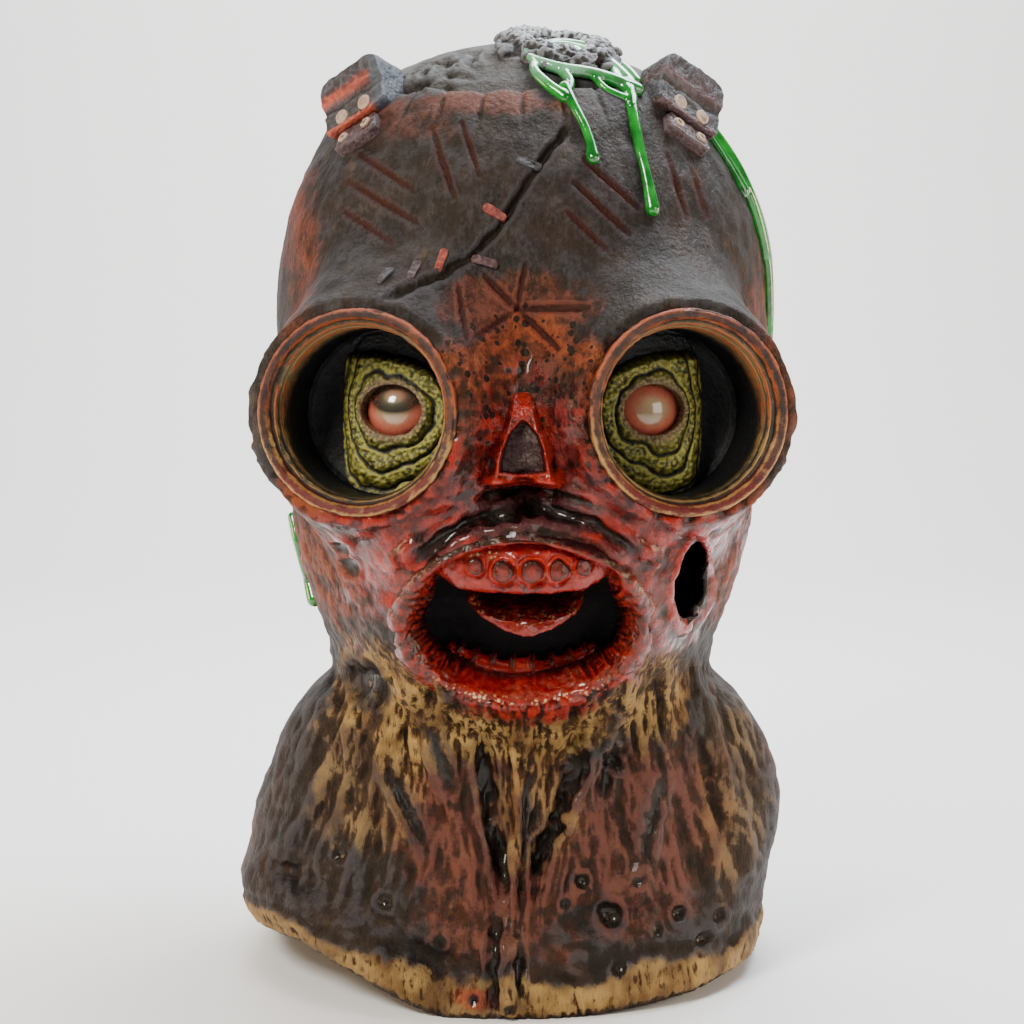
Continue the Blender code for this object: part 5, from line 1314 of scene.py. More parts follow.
# %% [markdown]
# ## Lips
#
# The mouth is held open as if in a scream. The lips are a thick wet ring that turns in to a
# funnel, creased towards the throat. One section is carried round an oval. Above, the funnel
# is shallow and runs on into the gum, and below it makes a broad chin of red.

# %% Lips
# Section from the cheek inwards. Columns: outset from the oval, depth behind the lips' middle.
LIP_ROWS = (
    (9.6, 5.5), (8.8, 1.5), (7.6, -2.4), (5.8, -5.6), (3.6, -7.2), (1.4, -7.0), (-0.8, -5.0),
    (-2.8, -1.6), (-4.6, 2.2), (-6.0, 6.0), (-7.0, 10.0), (-7.4, 13.0),
)


def lip_place(angle, outset):
    """A place round the mouth in the front view, moved out from the lips' middle oval."""
    out_x, out_z = MOUTH_HALF_HEIGHT * np.cos(angle), MOUTH_HALF_WIDTH * np.sin(angle)
    length = np.hypot(out_x, out_z)
    x = MOUTH_HALF_WIDTH * np.cos(angle) + out_x / length * outset
    z = MOUTH_HEIGHT + MOUTH_HALF_HEIGHT * np.sin(angle) + out_z / length * outset
    return x, z


def lip_depth(angle):
    """Y of the lips' middle: they stand a little proud of the hood."""
    x, z = lip_place(angle, LIP_HALF)
    return face_depth(x, z) + LIP_HALF_DEPTH - LIP_PROUD


LIP_ANGLES = np.linspace(0, 2 * math.pi, 361)
LIP_DEPTHS = lip_depth(LIP_ANGLES)


def lips_shape(u, v):
    """The ring of lips, from the cheek to the throat."""
    angle = 2 * math.pi * u
    outset, depth = rows_at(LIP_ROWS, v)
    above = eased((np.sin(angle) - 0.35) / 0.4)
    below = eased((-np.sin(angle) - 0.55) / 0.4)
    inner = eased((v - 0.45) / 0.4)
    outset = np.where(outset < 4, 4 + (outset - 4) * (1 - 0.66 * above), outset)
    depth = np.where(depth > 0, depth * (1 - 0.35 * above * inner), depth)
    depth = depth + above * (1 - inner) * 1.6 + 1.6 * below * (1 - inner)
    girth = np.stack([np.cos(angle) * 9, np.sin(angle) * 9, 0.9 * v], -1) * 0.008
    creases = ridged(girth * [1, 1, 1.6], 0.0058, 3, 71)
    sides = eased((np.abs(np.cos(angle)) - 0.35) / 0.3)
    x, z = lip_place(angle, outset * MM)
    y = np.interp(angle, LIP_ANGLES, LIP_DEPTHS) + depth * MM
    points = np.stack([x, y, z], -1)
    relief = 1.3 * fractal(points, 0.016, 3, 72) + 0.3 * fractal(points, 0.0035, 2, 73)
    relief += (1.3 * inner * (0.35 + 0.65 * sides)) * (creases - 0.62)
    near = cells(points, 0.0042, 74)
    relief += 0.25 * (1 - near) * (1 - inner)
    relief = relief * (1 - eased((0.12 - v) / 0.12))
    fields = {"relief": crests(relief, 0.5, 4)}
    # Dark streaks in the funnel's creases, and painted shade that darkens the funnel deeper in towards the
    # throat.
    streak = eased((0.58 - creases) / 0.25) * inner * (0.3 + 0.7 * sides)
    fields["streak"] = np.maximum(streak, eased((v - 0.66) / 0.2) * (1 - 0.9 * above))
    # Black on the upper lip's outer face: dark paint with painted shade under the folds below the nose.
    fields["black"] = above * eased((0.44 - v) / 0.14) * 0.92
    fields["bright"] = np.clip(above * eased((v - 0.36) / 0.12) + 0.7 * below, 0, 1)
    fields["panel"] = np.zeros_like(x)
    # Painted glints on the lower lip's ledge.
    fields["fat"] = below * (1 - np.abs(v - 0.40) / 0.12).clip(0, 1)
    return swollen(points + HEAD_AXIS, relief * MM), fields


lips = sheet("lip_ring", 430, 100, lips_shape, weld=SEAM_WELD)
finish_piece(lips, RAW_FLESH, "raw_flesh", "lip_ring")

# %% [markdown]
# ## Inside the mouth
#
# A dark bowl closes the mouth, its red darkening to black deeper in as painted shade. The upper
# gum has five empty sockets in a row, with painted shade in them, and the lower gum has nine worn
# stumps, with painted shade in the gaps. Both are rods that follow the bowl's wall, with the
# sockets pressed in and the stumps raised. The tongue is a closed spoon with a lumpy, wet front
# edge, darkening towards its root as painted shade, and pale gold spots on the flesh are painted glints.

# %% Bowl
def bowl_place(angle, lean, inset):
    """A point of the bowl behind the lips; lean runs from its rim to its bottom."""
    rim = np.interp(np.mod(angle, 2 * math.pi), LIP_ANGLES, LIP_DEPTHS)
    bottom = np.interp(math.pi / 2, LIP_ANGLES, LIP_DEPTHS)
    back = rim * np.cos(lean) ** 2 + bottom * np.sin(lean) ** 2 + LIP_HALF_DEPTH
    x = (MOUTH_HALF_WIDTH - inset) * np.cos(lean) * np.cos(angle)
    z = (MOUTH_HALF_HEIGHT - inset) * np.cos(lean) * np.sin(angle)
    y = back + (BOWL_DEPTH - inset) * np.sin(lean)
    return np.stack(np.broadcast_arrays(x, y, MOUTH_HEIGHT + z), -1)


def bowl_shape(u, v):
    """The inner face of the bowl, from its rim to its bottom."""
    points = bowl_place(2 * math.pi * u, math.pi / 2 * v, BOWL_WALL)
    relief = 0.0006 * fractal(points, 0.01, 3, 81) * np.sin(math.pi * v)
    fields = {"relief": crests(relief / MM, 0.4), "depth": v}
    return swollen(points + HEAD_AXIS, relief), fields


THROAT, tree, shader = material("dark throat", Specular_IOR_Level=0.12, Roughness=0.65)
fleshy = patches(tree, 130.0, 0.4, 0.7, colour(0.012, 0.002, 0.002), colour(0.045, 0.004, 0.004))
# Painted shade: the red darkens to black deeper in the bowl.
shaded_throat = mixed(tree, stepped(tree, field(tree, "depth"), 0.0, 0.22), fleshy, colour(0.0015, 0.0008, 0.001))
grain = grained(tree, 600.0, 0.5, 0.3)
join(tree, shader, Base_Color=shaded_throat, Normal=grain)
bowl = sheet("mouth_cup", 120, 40, bowl_shape, weld=SEAM_WELD)
modify(bowl, "SOLIDIFY", thickness=BOWL_WALL, offset=-1, use_rim=True)
bowl.data.shade_smooth()
finish_piece(bowl, THROAT, "dark_throat", "mouth_cup")


# %% Gums
def rod_shape(middle, spread, lean, half_width, half_height, forward, dress, lift=0.0, thin=0.35):
    """A rod of gum along the bowl's wall between two bearings, closed at its ends."""
    def shape(u, v):
        along = 2 * v - 1
        angle = np.radians(middle - spread * along)
        wall = bowl_place(angle, lean, BOWL_WALL)
        centre = bowl_place(angle, lean, BOWL_WALL + 0.9 * half_height)
        raised = np.zeros_like(centre)
        raised[..., 2] = lift * np.abs(along) ** 2.2
        centre, wall = centre + raised, wall + raised
        ahead = np.gradient(centre, axis=0)
        inward = centre - wall
        across = np.cross(ahead, inward)
        across = across / np.linalg.norm(across, axis=-1, keepdims=True)
        rise = np.cross(across, ahead)
        rise = rise / np.linalg.norm(rise, axis=-1, keepdims=True)
        end = np.sqrt(np.clip((1 - np.abs(along)) / 0.05, 0, 1))
        taper = (1 - thin * np.abs(along) ** 2.4) * end
        turn = 2 * math.pi * u
        wide, high = half_width * taper * np.cos(turn), half_height * taper * np.sin(turn)
        points = centre + forward + across * wide[..., None] + rise * high[..., None]
        amount, fields = dress(points, along, turn, centre + forward)
        fields["relief"] = crests(amount, 0.5, 3)
        fields.setdefault("panel", np.zeros_like(along * u))
        fields.setdefault("streak", np.zeros_like(along * u))
        return swollen(points + HEAD_AXIS, amount * MM * end), fields

    return shape


# Columns: x and z from the head's axis, half width and half height of a socket, in millimetres.
SOCKET_ROWS = (
    (-18.4, 192.2, 3.4, 3.5), (-8.0, 190.6, 4.6, 4.7), (3.6, 190.4, 4.8, 4.9), (13.8, 190.9, 4.2, 4.4),
    (23.2, 192.0, 3.4, 3.4),
)


# Where pale gold painted glints show over the sockets: x and half width in millimetres.
GLINT_ROWS = ((-16.5, 7.5), (27.5, 7.0))


def upper_dress(points, along, turn, centre):
    """Five empty sockets in the front of the upper gum, with swollen rims and painted shade inside."""
    amount = 0.7 * fractal(points, 0.007, 3, 91)
    black, hollow = np.zeros_like(amount), np.zeros_like(amount)
    nearest = np.full_like(amount, 9.0)
    ahead = points[..., 1] < centre[..., 1] + 0.0008
    uneven = 1 + 0.14 * noise(points, 0.004, 94)
    for across, height, half_x, half_z in SOCKET_ROWS:
        off_x, off_z = points[..., 0] - across * MM, points[..., 2] - height * MM
        away = np.hypot(off_x / (half_x * MM), off_z / (half_z * MM)) * uneven
        amount += ahead * (1.1 * eased(1 - np.abs(away - 1.1) / 0.35) - 2.6 * eased((1.15 - away) / 0.5))
        # Painted shade: each socket darkens inside, most on its upper side under the overhang.
        shade = eased((1.0 - away) / 0.3) * (0.12 + 0.5 * eased(off_z / (half_z * MM)))
        black = np.maximum(black, ahead * shade)
        hollow = np.maximum(hollow, ahead * eased((1.15 - away) / 0.3))
        nearest = np.minimum(nearest, away)
    below = eased((186.5 * MM - points[..., 2]) / 0.003) * eased((nearest - 1.05) / 0.4)
    amount -= 2.4 * below * (1 - np.abs(along))
    bright = (1 - 0.4 * eased((fractal(points, 0.009, 2, 92) + 0.1) / 0.4)) * (1 - 0.8 * hollow)
    patch = sum(np.abs(points[..., 0] / MM - middle) < half for middle, half in GLINT_ROWS)
    # Painted glints over the sockets.
    fat = patch * eased(1 - np.abs(points[..., 2] - 0.1975) / 0.003)
    return amount, {"black": black, "bright": bright, "fat": fat}


def lower_dress(points, along, turn, centre):
    """Nine worn stumps along the lower gum, with painted shade in the gaps between them."""
    at = (along * 0.92 + 1) / 2 * 9
    inside = np.abs(at - np.floor(at) - 0.5) * 2
    over = eased((np.sin(turn) - 0.1) / 0.5)
    short = 0.75 + 0.25 * np.cos(np.floor(at) * 2.4)
    stump = eased((0.80 - inside) / 0.25) * over * short
    amount = 0.5 * fractal(points, 0.006, 3, 93) + 3.0 * stump - 0.8 * over * (1 - stump)
    # Painted shade in the gaps between the stumps.
    black = over * eased((inside - 0.72) / 0.2) * 0.95
    return amount, {"black": black, "bright": 0.75 + 0.25 * stump}


GUM_FLESH = flesh_paint(
    "gum flesh",
    colour(0.085, 0.001, 0.002),
    colour(0.26, 0.002, 0.003),
    colour(0.42, 0.022, 0.008),
    0.12,
)
upper_gum = sheet(
    "upper_gum",
    110,
    230,
    rod_shape(90, 72, math.radians(2), 0.0062, 0.0088, (0, -0.0066, 0.0036), upper_dress, 0.0125, 0.62),
    weld=SEAM_WELD,
)
finish_piece(upper_gum, GUM_FLESH, "gum_flesh", "upper_gum")
lower_gum = sheet(
    "lower_gum",
    60,
    330,
    rod_shape(270, 56, math.radians(20), 0.005, 0.005, (0, 0, 0), lower_dress),
    weld=SEAM_WELD,
)
finish_piece(lower_gum, GUM_FLESH, "gum_flesh", "lower_gum")


# %% Tongue
def tongue_shape(u, v):
    """The tongue from its root to its tip, round its section."""
    back = bowl_place(np.array(math.pi / 2), math.pi / 2, BOWL_WALL)[1]
    taper = np.clip((v - 0.26) / 0.74, 0, 1)
    spread = (1 - taper**3.2) ** 0.42
    turn = 2 * math.pi * u
    side = np.cos(turn)
    x = 0.0015 + 0.0225 * spread * side
    y = back - 0.024 * v * (1 - 0.10 * side**2) - 0.001 * taper**8
    hollow = 0.003 * (0.4 + 0.6 * v)
    top = MOUTH_HEIGHT + 0.014 - 0.013 * v**1.2 - hollow * (1 - side**2)
    thick = 0.006 * (0.6 + 0.4 * np.sin(turn) ** 2) * np.sqrt(spread)
    lower = np.where(np.sin(turn) < 0, 1.0, 0.0)
    rounded = 0.5 - 0.5 * np.sign(np.sin(turn)) * np.abs(np.sin(turn)) ** 0.5
    z = top - thick * rounded
    points = np.stack([x, y, z], -1)
    near = cells(points, 0.0026, 95)
    edge = eased((v - 0.62) / 0.3) + eased((np.abs(side) - 0.8) / 0.2)
    amount = 0.6 * fractal(points, 0.008, 3, 94) + np.clip(0.35 + edge, 0, 1.2) * 0.9 * (1 - near)
    amount = amount * (1 - 0.5 * lower)
    fields = {"relief": crests(amount, 0.4, 3), "bright": np.clip(edge, 0, 1)}
    # Painted shade: the tongue darkens towards its root, deep in the mouth, along its middle.
    fields["black"] = 0.75 * (1 - eased((v - 0.45) / 0.35)) * (1 - eased((np.abs(side) - 0.7) / 0.25))
    fields["panel"], fields["streak"] = np.zeros_like(x), np.zeros_like(x)
    # Painted glints on the tongue's front edge.
    fields["fat"] = 0.55 * np.clip(edge, 0, 1) * (1 - lower)
    return swollen(points + HEAD_AXIS, amount * MM), fields


tongue = sheet("tongue", 110, 76, tongue_shape, weld=SEAM_WELD)
finish_piece(tongue, RAW_FLESH, "raw_flesh", "tongue")


# %% [markdown]
# ## Strap tabs
#
# Two thick leather tabs stand on the crown, each with a small plate below it, two flat rivets
# and two eyelets. A slab is a closed sheet: from the middle of its back, round its edge, to
# the middle of its front. Its outline is a soft rectangle, and wear is pressed into its front.

# %% Slabs on the hood
def outward_at(bearing, height):
    """A place on the plain hood with its right, up and outward directions."""
    step = 0.003
    here = np.array([bearing, bearing + step / HEAD_WIDTH, bearing - step / HEAD_WIDTH, bearing, bearing])
    level = np.array([height, height, height, height + step, height - step])
    points = hood_base(here, level)
    return frame_at(points[0], np.cross(points[1] - points[2], points[3] - points[4]))


def spun(frame, angle, axis):
    """A frame turned about one of its own directions: 0 right, 2 outward."""
    origin, directions = frame
    first, second = [k for k in range(3) if k != axis]
    turned = directions.copy()
    turned[first] = directions[first] * math.cos(angle) + directions[second] * math.sin(angle)
    turned[second] = directions[second] * math.cos(angle) - directions[first] * math.sin(angle)
    return origin, turned


def slab_shape(frame, half_width, half_length, low, high, corner, dress):
    """A slab in a frame, in millimetres, with its front shaped by dress(x, y)."""
    def shape(u, v):
        angle = 2 * math.pi * u
        power = 2 + 6 * (1 - corner)
        cross = (np.abs(np.cos(angle) / half_width) ** power + np.abs(np.sin(angle) / half_length) ** power)
        edge = cross ** (-1 / power)
        reach = np.interp(v, [0, 0.12, 0.16, 0.36, 0.42, 1.0], [0, 0.985, 1.0, 1.0, 0.975, 0])
        x, y = edge * reach * np.cos(angle), edge * reach * np.sin(angle)
        front = eased((v - 0.30) / 0.1)
        relief, fields = dress(x, y)
        height = low + (high - low) * np.interp(v, [0, 0.14, 0.36, 0.42, 1.0], [0, 0.02, 0.90, 1.0, 1.0])
        points = placed(frame, x * MM, y * MM, (height + front * relief) * MM)
        rough = 0.35 * fractal(points, 0.006, 3, 101)
        fields["relief"] = crests(front * relief + rough, 0.35, 3)
        fields["relief"] += 0.9 * eased(1 - np.abs(v - 0.39) / 0.05)
        return swollen(points, rough * MM), fields

    return shape


def tab_dress(worn):
    """A pressed panel with a worn band above it and a rolled lower edge."""
    def dress(x, y):
        flat = np.stack([x, y, np.full_like(x, 3.0 + worn)], -1)
        bend = 0.8 * noise(flat, 9.0, 102)
        relief = 0.9 * eased((y - 0.8 + bend) / 3) - 0.9 * eased(1 - np.abs(y + 0.6 + bend) / 2.6)
        relief += 0.9 * eased((-10.2 - y) / 1.5) + 0.9 * (y / 13.5) ** 2
        relief += 0.6 * (ridged(flat, 7.0, 2, 103) - 0.6)
        red = worn * eased(1 - np.abs(y - 4.2 + bend) / 4.4) + worn * eased((-9.8 - y) / 1.4)
        blue = worn * eased((x - 9 + bend) / 4)
        return relief, {"red": np.clip(red * (1 - blue), 0, 1), "blue": blue}

    return dress


def plain_dress(red, dome=0.0):
    """A front with a shallow dome and an even share of rust."""
    def dress(x, y):
        flat = np.stack([x, y, np.full_like(x, 7.0 * red + 1)], -1)
        relief = 0.5 * fractal(flat, 4.0, 2, 104) - dome * (x / 5) ** 2
        return relief, {"red": np.full_like(x, red), "blue": np.zeros_like(x)}

    return dress


LEATHER, tree, shader = material("strap leather", Specular_IOR_Level=0.4)
worn = stepped(tree, clouds(tree, 170.0, 5.0, 0.7), 0.32, 0.68)
hide = mixed(tree, worn, colour(0.012, 0.010, 0.012), colour(0.035, 0.024, 0.021))
hide = mixed(tree, times(tree, field(tree, "red"), 0.9), hide, colour(0.19, 0.024, 0.015))
hide = mixed(tree, times(tree, field(tree, "blue"), 0.8), hide, colour(0.045, 0.055, 0.072))
bright = mixed(tree, field(tree, "red"), colour(0.085, 0.085, 0.10), colour(0.52, 0.10, 0.04))
worked = brush(tree, hide, bright, colour(0.004, 0.004, 0.005), 0.65, 0.9, 600.0)
grain = grained(tree, 1200.0, 0.6, 0.5)
join(tree, shader, Base_Color=worked.outputs["Color"], Normal=grain)
join(tree, shader, Roughness=maths(tree, "SUBTRACT", 0.6, times(tree, worn, 0.15)))
print("strap leather:", len(tree.nodes), "nodes")

# %% Rivet paint
RIVET_PAINT, tree, shader = material("worn rivet", Roughness=0.5)
tarnish = stepped(tree, clouds(tree, 420.0, 5.0, 0.7), 0.40, 0.68)
metal = mixed(tree, tarnish, colour(0.34, 0.23, 0.155), colour(0.15, 0.085, 0.055))
worked = brush(tree, metal, colour(0.52, 0.38, 0.27), colour(0.02, 0.012, 0.01), 0.6, 0.9, 1500.0)
grain = grained(tree, 2200.0, 0.4, 0.3)
join(tree, shader, Base_Color=worked.outputs["Color"], Normal=grain)
print("worn rivet:", len(tree.nodes), "nodes")

# %% Tabs, plates, rivets and eyelets
TAB_HEIGHT, TAB_BEARING, TAB_TURN, TAB_FLARE = 0.373, math.radians(56), math.radians(38), math.radians(24)
RIVET_ROWS = (
    (0, -0.5, 0), (3.3, -0.5, 0), (3.3, 0.3, -0.6), (3.2, 1.1, 0.6),
    (2.8, 1.55, 0.9), (2.2, 1.5, -0.3), (0, 1.7, 0.2),
)
EYELET_ROWS = (
    (0, -0.5, 0), (2.5, -0.5, 0), (2.5, 0.6, 0.2), (2.2, 1.2, 1.0), (1.6, 1.3, 0.8), (1.15, 0.9, -0.4),
    (1.1, 0.2, -1.2), (0, 0.1, -1.2),
)
for side, suffix in ((-1, "left"), (1, "right")):
    seat = spun(outward_at(side * TAB_BEARING, TAB_HEIGHT), -side * TAB_TURN, 2)
    tab_frame = spun(moved(seat, 0, 0, 0.0035), TAB_FLARE, 0)
    tab_form = slab_shape(tab_frame, 16.5, 13.5, -11, 4.8, 0.25, tab_dress(1.0 if side < 0 else 0.12))
    tab = sheet("strap_tab_" + suffix, 170, 84, tab_form, weld=LATHE_WELD)
    finish_piece(tab, LEATHER, "strap_leather", "strap_tab_" + suffix)
    drop = -0.0135 * math.cos(TAB_FLARE) - 0.0048 * math.sin(TAB_FLARE) - 0.0058
    foot_frame = moved(seat, 0, drop, 0.0014)
    foot_form = slab_shape(foot_frame, 11, 5.5, -11, 0, 0.3, plain_dress(0.1))
    foot = sheet("tab_foot_" + suffix, 110, 50, foot_form, weld=LATHE_WELD)
    finish_piece(foot, LEATHER, "strap_foot", "tab_foot_" + suffix)
    for number, across in ((1, -0.00625), (2, 0.00625)):
        on_tab, on_foot = moved(tab_frame, across, -0.008, 0.0048), moved(foot_frame, across, 0.0, 0.0)
        rivet_form = turned_shape(on_tab, RIVET_ROWS, 0.25 * MM, 0.0015)
        eyelet_form = turned_shape(on_foot, EYELET_ROWS, 0.2 * MM, 0.0012)
        for kind, rows, form in (("rivet", 26, rivet_form), ("eyelet", 32, eyelet_form)):
            stud = sheet(f"{kind}_{suffix}_{number}", 48, rows, form, weld=LATHE_WELD)
            finish_piece(stud, RIVET_PAINT, "worn_rivet", f"{kind}_{suffix}_{number}")

# %% Staples
# Columns: x and z in millimetres, turn in degrees, share of rust.
STAPLE_ROWS = (
    (2.5, 347.4, -22, 0.0), (-11.0, 328.5, -30, 0.75), (-14.8, 309.5, -16, 0.15),
    (-31.8, 309.9, 74, 1.0), (-42.4, 305.8, 72, 0.1), (-53.4, 303.8, 68, 0.0),
)
for number, (across, height, turn, rusty) in enumerate(STAPLE_ROWS, start=1):
    x, z = across * MM, height * MM
    bearing = math.atan2(x, -float(face_depth(np.array([x]), np.array([z]))[0]))
    frame = spun(outward_at(bearing, z), math.radians(turn), 2)
    form = slab_shape(frame, 5.2, 1.6, -3, 1.7, 0.5, plain_dress(rusty, 0.7))
    staple = sheet(f"staple_{number}", 64, 34, form, weld=LATHE_WELD)
    finish_piece(staple, LEATHER, "strap_foot", f"staple_{number}")


# %% [markdown]
# ## Torn crown
#
# A ring of torn hide lies round a wound on the crown, crusted in sharp lumps, with a chalky dry
# brush on its edges. Its section is carried round the wound over the crown's own curve.

# %% Crust
CRUST_AT, CRUST_INNER, CRUST_WIDTH, CRUST_RISE = (0.0150, -0.0360), 0.0130, 0.0135, 0.0060


def crown_height(reach, bearing):
    """Z of the hood's crown at a distance from the upright axis, found by halving."""
    low, high = np.full_like(reach, 0.80 * MASK_HEIGHT), np.full_like(reach, MASK_HEIGHT)
    for _ in range(18):
        middle = (low + high) / 2
        outside = hood_radius(bearing, middle) < reach
        low, high = np.where(outside, low, middle), np.where(outside, middle, high)
    return (low + high) / 2


def on_crown(x, y, rise):
    """Points over the crown by their place from above, from the head's axis."""
    z = crown_height(np.hypot(x, y), np.arctan2(x, -y))
    return np.stack([x, y, z + rise], -1)


def crust_shape(u, v):
    """The ring of torn hide, from its outer foot over its crest to its inner foot."""
    turn = 2 * math.pi * u
    share = np.interp(v, [0, 0.12, 0.38, 0.68, 0.90, 1], [0.98, 1.0, 0.70, 0.35, 0.05, 0.0])
    lift = np.interp(v, [0, 0.12, 0.38, 0.68, 0.90, 1], [-0.6, 0.22, 0.80, 1.0, 0.55, -0.8])
    round_it = np.stack([np.cos(turn), np.sin(turn), 0.35 * v], -1) * 0.02
    ragged = 1 + 0.36 * noise(round_it, 0.012, 111) + 0.26 * noise(round_it, 0.005, 112)
    reach = CRUST_INNER + CRUST_WIDTH * share * ragged
    x, y = CRUST_AT[0] + reach * np.cos(turn), CRUST_AT[1] + reach * np.sin(turn)
    uneven = 1 + 0.35 * noise(round_it, 0.010, 113)
    points = on_crown(x, y, CRUST_RISE * 0.7 * lift * np.where(lift > 0, uneven, 1))
    spikes = ridged(points, 0.0090, 3, 114) - 0.5
    near = cells(points, 0.0056, 115)
    amount = (3.0 * spikes + 1.8 * (1 - near) - 0.6) * eased(np.minimum(v, 1 - v) / 0.12)
    fields = {"relief": crests(amount, 0.6, 3), "chalk": eased((v - 0.25) / 0.5)}
    return swollen(points + HEAD_AXIS, amount * MM), fields


TORN_HIDE, tree, shader = material("torn hide", Roughness=0.62)
dirt = stepped(tree, clouds(tree, 180.0, 5.0, 0.7), 0.35, 0.7)
hide = mixed(tree, dirt, colour(0.012, 0.011, 0.012), colour(0.050, 0.042, 0.034))
chalk = mixed(tree, field(tree, "chalk"), colour(0.16, 0.16, 0.175), colour(0.62, 0.66, 0.70))
worked = brush(tree, hide, chalk, colour(0.004, 0.004, 0.005), 0.85, 0.9, 700.0)
grain = grained(tree, 900.0, 0.8, 0.6)
join(tree, shader, Base_Color=worked.outputs["Color"], Normal=grain)
crust = sheet("crown_crust", 300, 56, crust_shape, weld=SEAM_WELD)
finish_piece(crust, TORN_HIDE, "torn_hide", "crown_crust")

# %% [markdown]
# ## Slime
#
# Slime is poured on as a thick glossy resin. A curve with a round bevel makes each run a tube,
# with a bead from the Add menu at both ends. The tubes are joined and melted into one skin with
# a voxel remesh, then smoothed. A web of strands spans the torn crown, and runs end in a drop.

# %% Slime runs
def on_front(x, z, rise):
    """A point over the hood in the front view."""
    return np.stack([x, face_depth(x, z) - rise, z], -1)


def on_side(bearing, z, rise):
    """A point over the hood by bearing and height."""
    radius = hood_radius(bearing, z) + rise
    return np.stack([radius * np.sin(bearing), -radius * np.cos(bearing), z], -1)


def curve_through(rows, step):
    """Many even rows along a smooth curve through a table."""
    table = np.array(rows, float)
    ends = np.vstack([2 * table[0] - table[1], table, 2 * table[-1] - table[-2]])
    made = []
    for at in np.arange(0, len(table) - 1 + 1e-9, step):
        low = min(int(at), len(table) - 2)
        t = at - low
        before, start, end, after = ends[low : low + 4]
        bend = 2 * before - 5 * start + 4 * end - after
        twist = 3 * start - before - 3 * end + after
        made.append(0.5 * (2 * start + (end - before) * t + bend * t**2 + twist * t**3))
    return np.array(made)


def strand(rows, place):
    """A tube along a run of two place columns and a radius, with a bead at each end."""
    run = curve_through(rows, 0.1)
    radius = run[:, 2] * MM
    points = place(run[:, 0], run[:, 1], radius * 0.25) + HEAD_AXIS
    path = bpy.data.curves.new("strand", "CURVE")
    path.dimensions = "3D"
    path.bevel_depth = 1.0
    path.bevel_resolution = 4
    path.use_fill_caps = True
    line = path.splines.new("POLY")
    line.points.add(len(points) - 1)
    for mark, point, half in zip(line.points, points, radius):
        mark.co = (*point, 1.0)
        mark.radius = half
    made = bpy.data.objects.new("strand", path)
    bpy.context.scene.collection.objects.link(made)
    operate(made)
    bpy.ops.object.convert(target="MESH")
    tubes = [bpy.context.object]
    for end in (0, -1):
        bpy.ops.mesh.primitive_ico_sphere_add(subdivisions=3, radius=radius[end], location=points[end])
        tubes.append(bpy.context.object)
    return tubes


def melted(name, runs, cell):
    """Strands along runs, made one smooth skin."""
    tubes = [tube for rows, place in runs for tube in strand(rows, place)]
    bpy.ops.object.select_all(action="DESELECT")
    for tube in tubes:
        tube.select_set(True)
    bpy.context.view_layer.objects.active = tubes[0]
    bpy.ops.object.join()
    bpy.ops.object.transform_apply(location=True, rotation=True, scale=True)
    piece = bpy.context.object
    piece.name = piece.data.name = name
    modify(piece, "REMESH", mode="VOXEL", voxel_size=cell, use_smooth_shade=True)
    modify(piece, "SMOOTH", factor=0.6, iterations=8)
    piece.data.shade_smooth()
    return piece


SLIME, tree, shader = material("slime", Coat_Weight=1.0, Coat_Roughness=0.02, Roughness=0.12)
height = put(tree, "SeparateXYZ", {0: put(tree, "TexCoord").outputs["Object"]}).outputs["Z"]
# Painted highlight: the slime is paler high on the crown.
pale = stepped(tree, maths(tree, "ADD", height, times(tree, clouds(tree, 90.0), 0.03)), 0.392, 0.414)
green = patches(tree, 120.0, 0.3, 0.7, colour(0.002, 0.085, 0.006), colour(0.008, 0.24, 0.018))
green = mixed(tree, times(tree, pale, 0.7), green, colour(0.32, 0.62, 0.42))
join(tree, shader, Base_Color=green)
print("slime:", len(tree.nodes), "nodes")

# %% Slime pieces
WEB_VOXEL, DRIP_VOXEL, RUN_VOXEL = 0.0006, 0.00055, 0.0007
# Web on the crown. Columns: x and y from the head's axis, radius.
WEB_ROWS = (
    ((1, -52, 2.0), (5, -60, 2.4), (15, -64, 2.7), (28, -62, 2.8), (40, -60, 3.0), (47, -58, 3.0)),
    ((1, -52, 2.0), (8, -44, 2.0), (20, -40, 2.2), (33, -45, 2.4), (44, -57, 2.8)),
    ((5, -60, 2.0), (5, -67, 2.2), (10, -73, 2.5), (17, -77, 2.7)),
    ((15, -64, 2.2), (19, -70, 2.3), (17, -77, 2.6)),
    ((20, -40, 1.5), (26, -50, 1.6), (28, -62, 2.2)),
    ((33, -45, 1.5), (37, -52, 1.6), (39, -60, 2.0)),
    ((9, -44, 1.4), (14, -33, 1.6), (26, -29, 1.8), (37, -37, 1.9), (47, -52, 2.2)),
    ((40, -60, 2.6), (44, -64, 2.8), (44, -69, 2.8)),
    ((28, -62, 1.6), (34, -67, 1.7), (44, -66, 2.0)),
)
# Drips down the forehead. Columns: x and z from the head's axis, radius.
DRIP_ROWS = {
    "left": ((16.8, 378.5, 2.8), (20.6, 370.5, 2.3), (24.4, 363, 2.1), (26.8, 356, 2.2), (27.8, 350, 3)),
    "right": ((43.4, 378, 3), (45, 364, 2.5), (47.2, 352, 2.3), (49.6, 341, 2.4), (51.4, 330, 3.2)),
}
runs = [(rows, lambda x, y, r: on_crown(x * MM, y * MM, r)) for rows in WEB_ROWS]
web = melted("slime_crown", runs, WEB_VOXEL)
finish_piece(web, SLIME, "slime", "slime_crown")
for suffix, rows in DRIP_ROWS.items():
    drip = melted("slime_drip_" + suffix, [(rows, lambda x, z, r: on_front(x * MM, z * MM, r))], DRIP_VOXEL)
    finish_piece(drip, SLIME, "slime", "slime_drip_" + suffix)
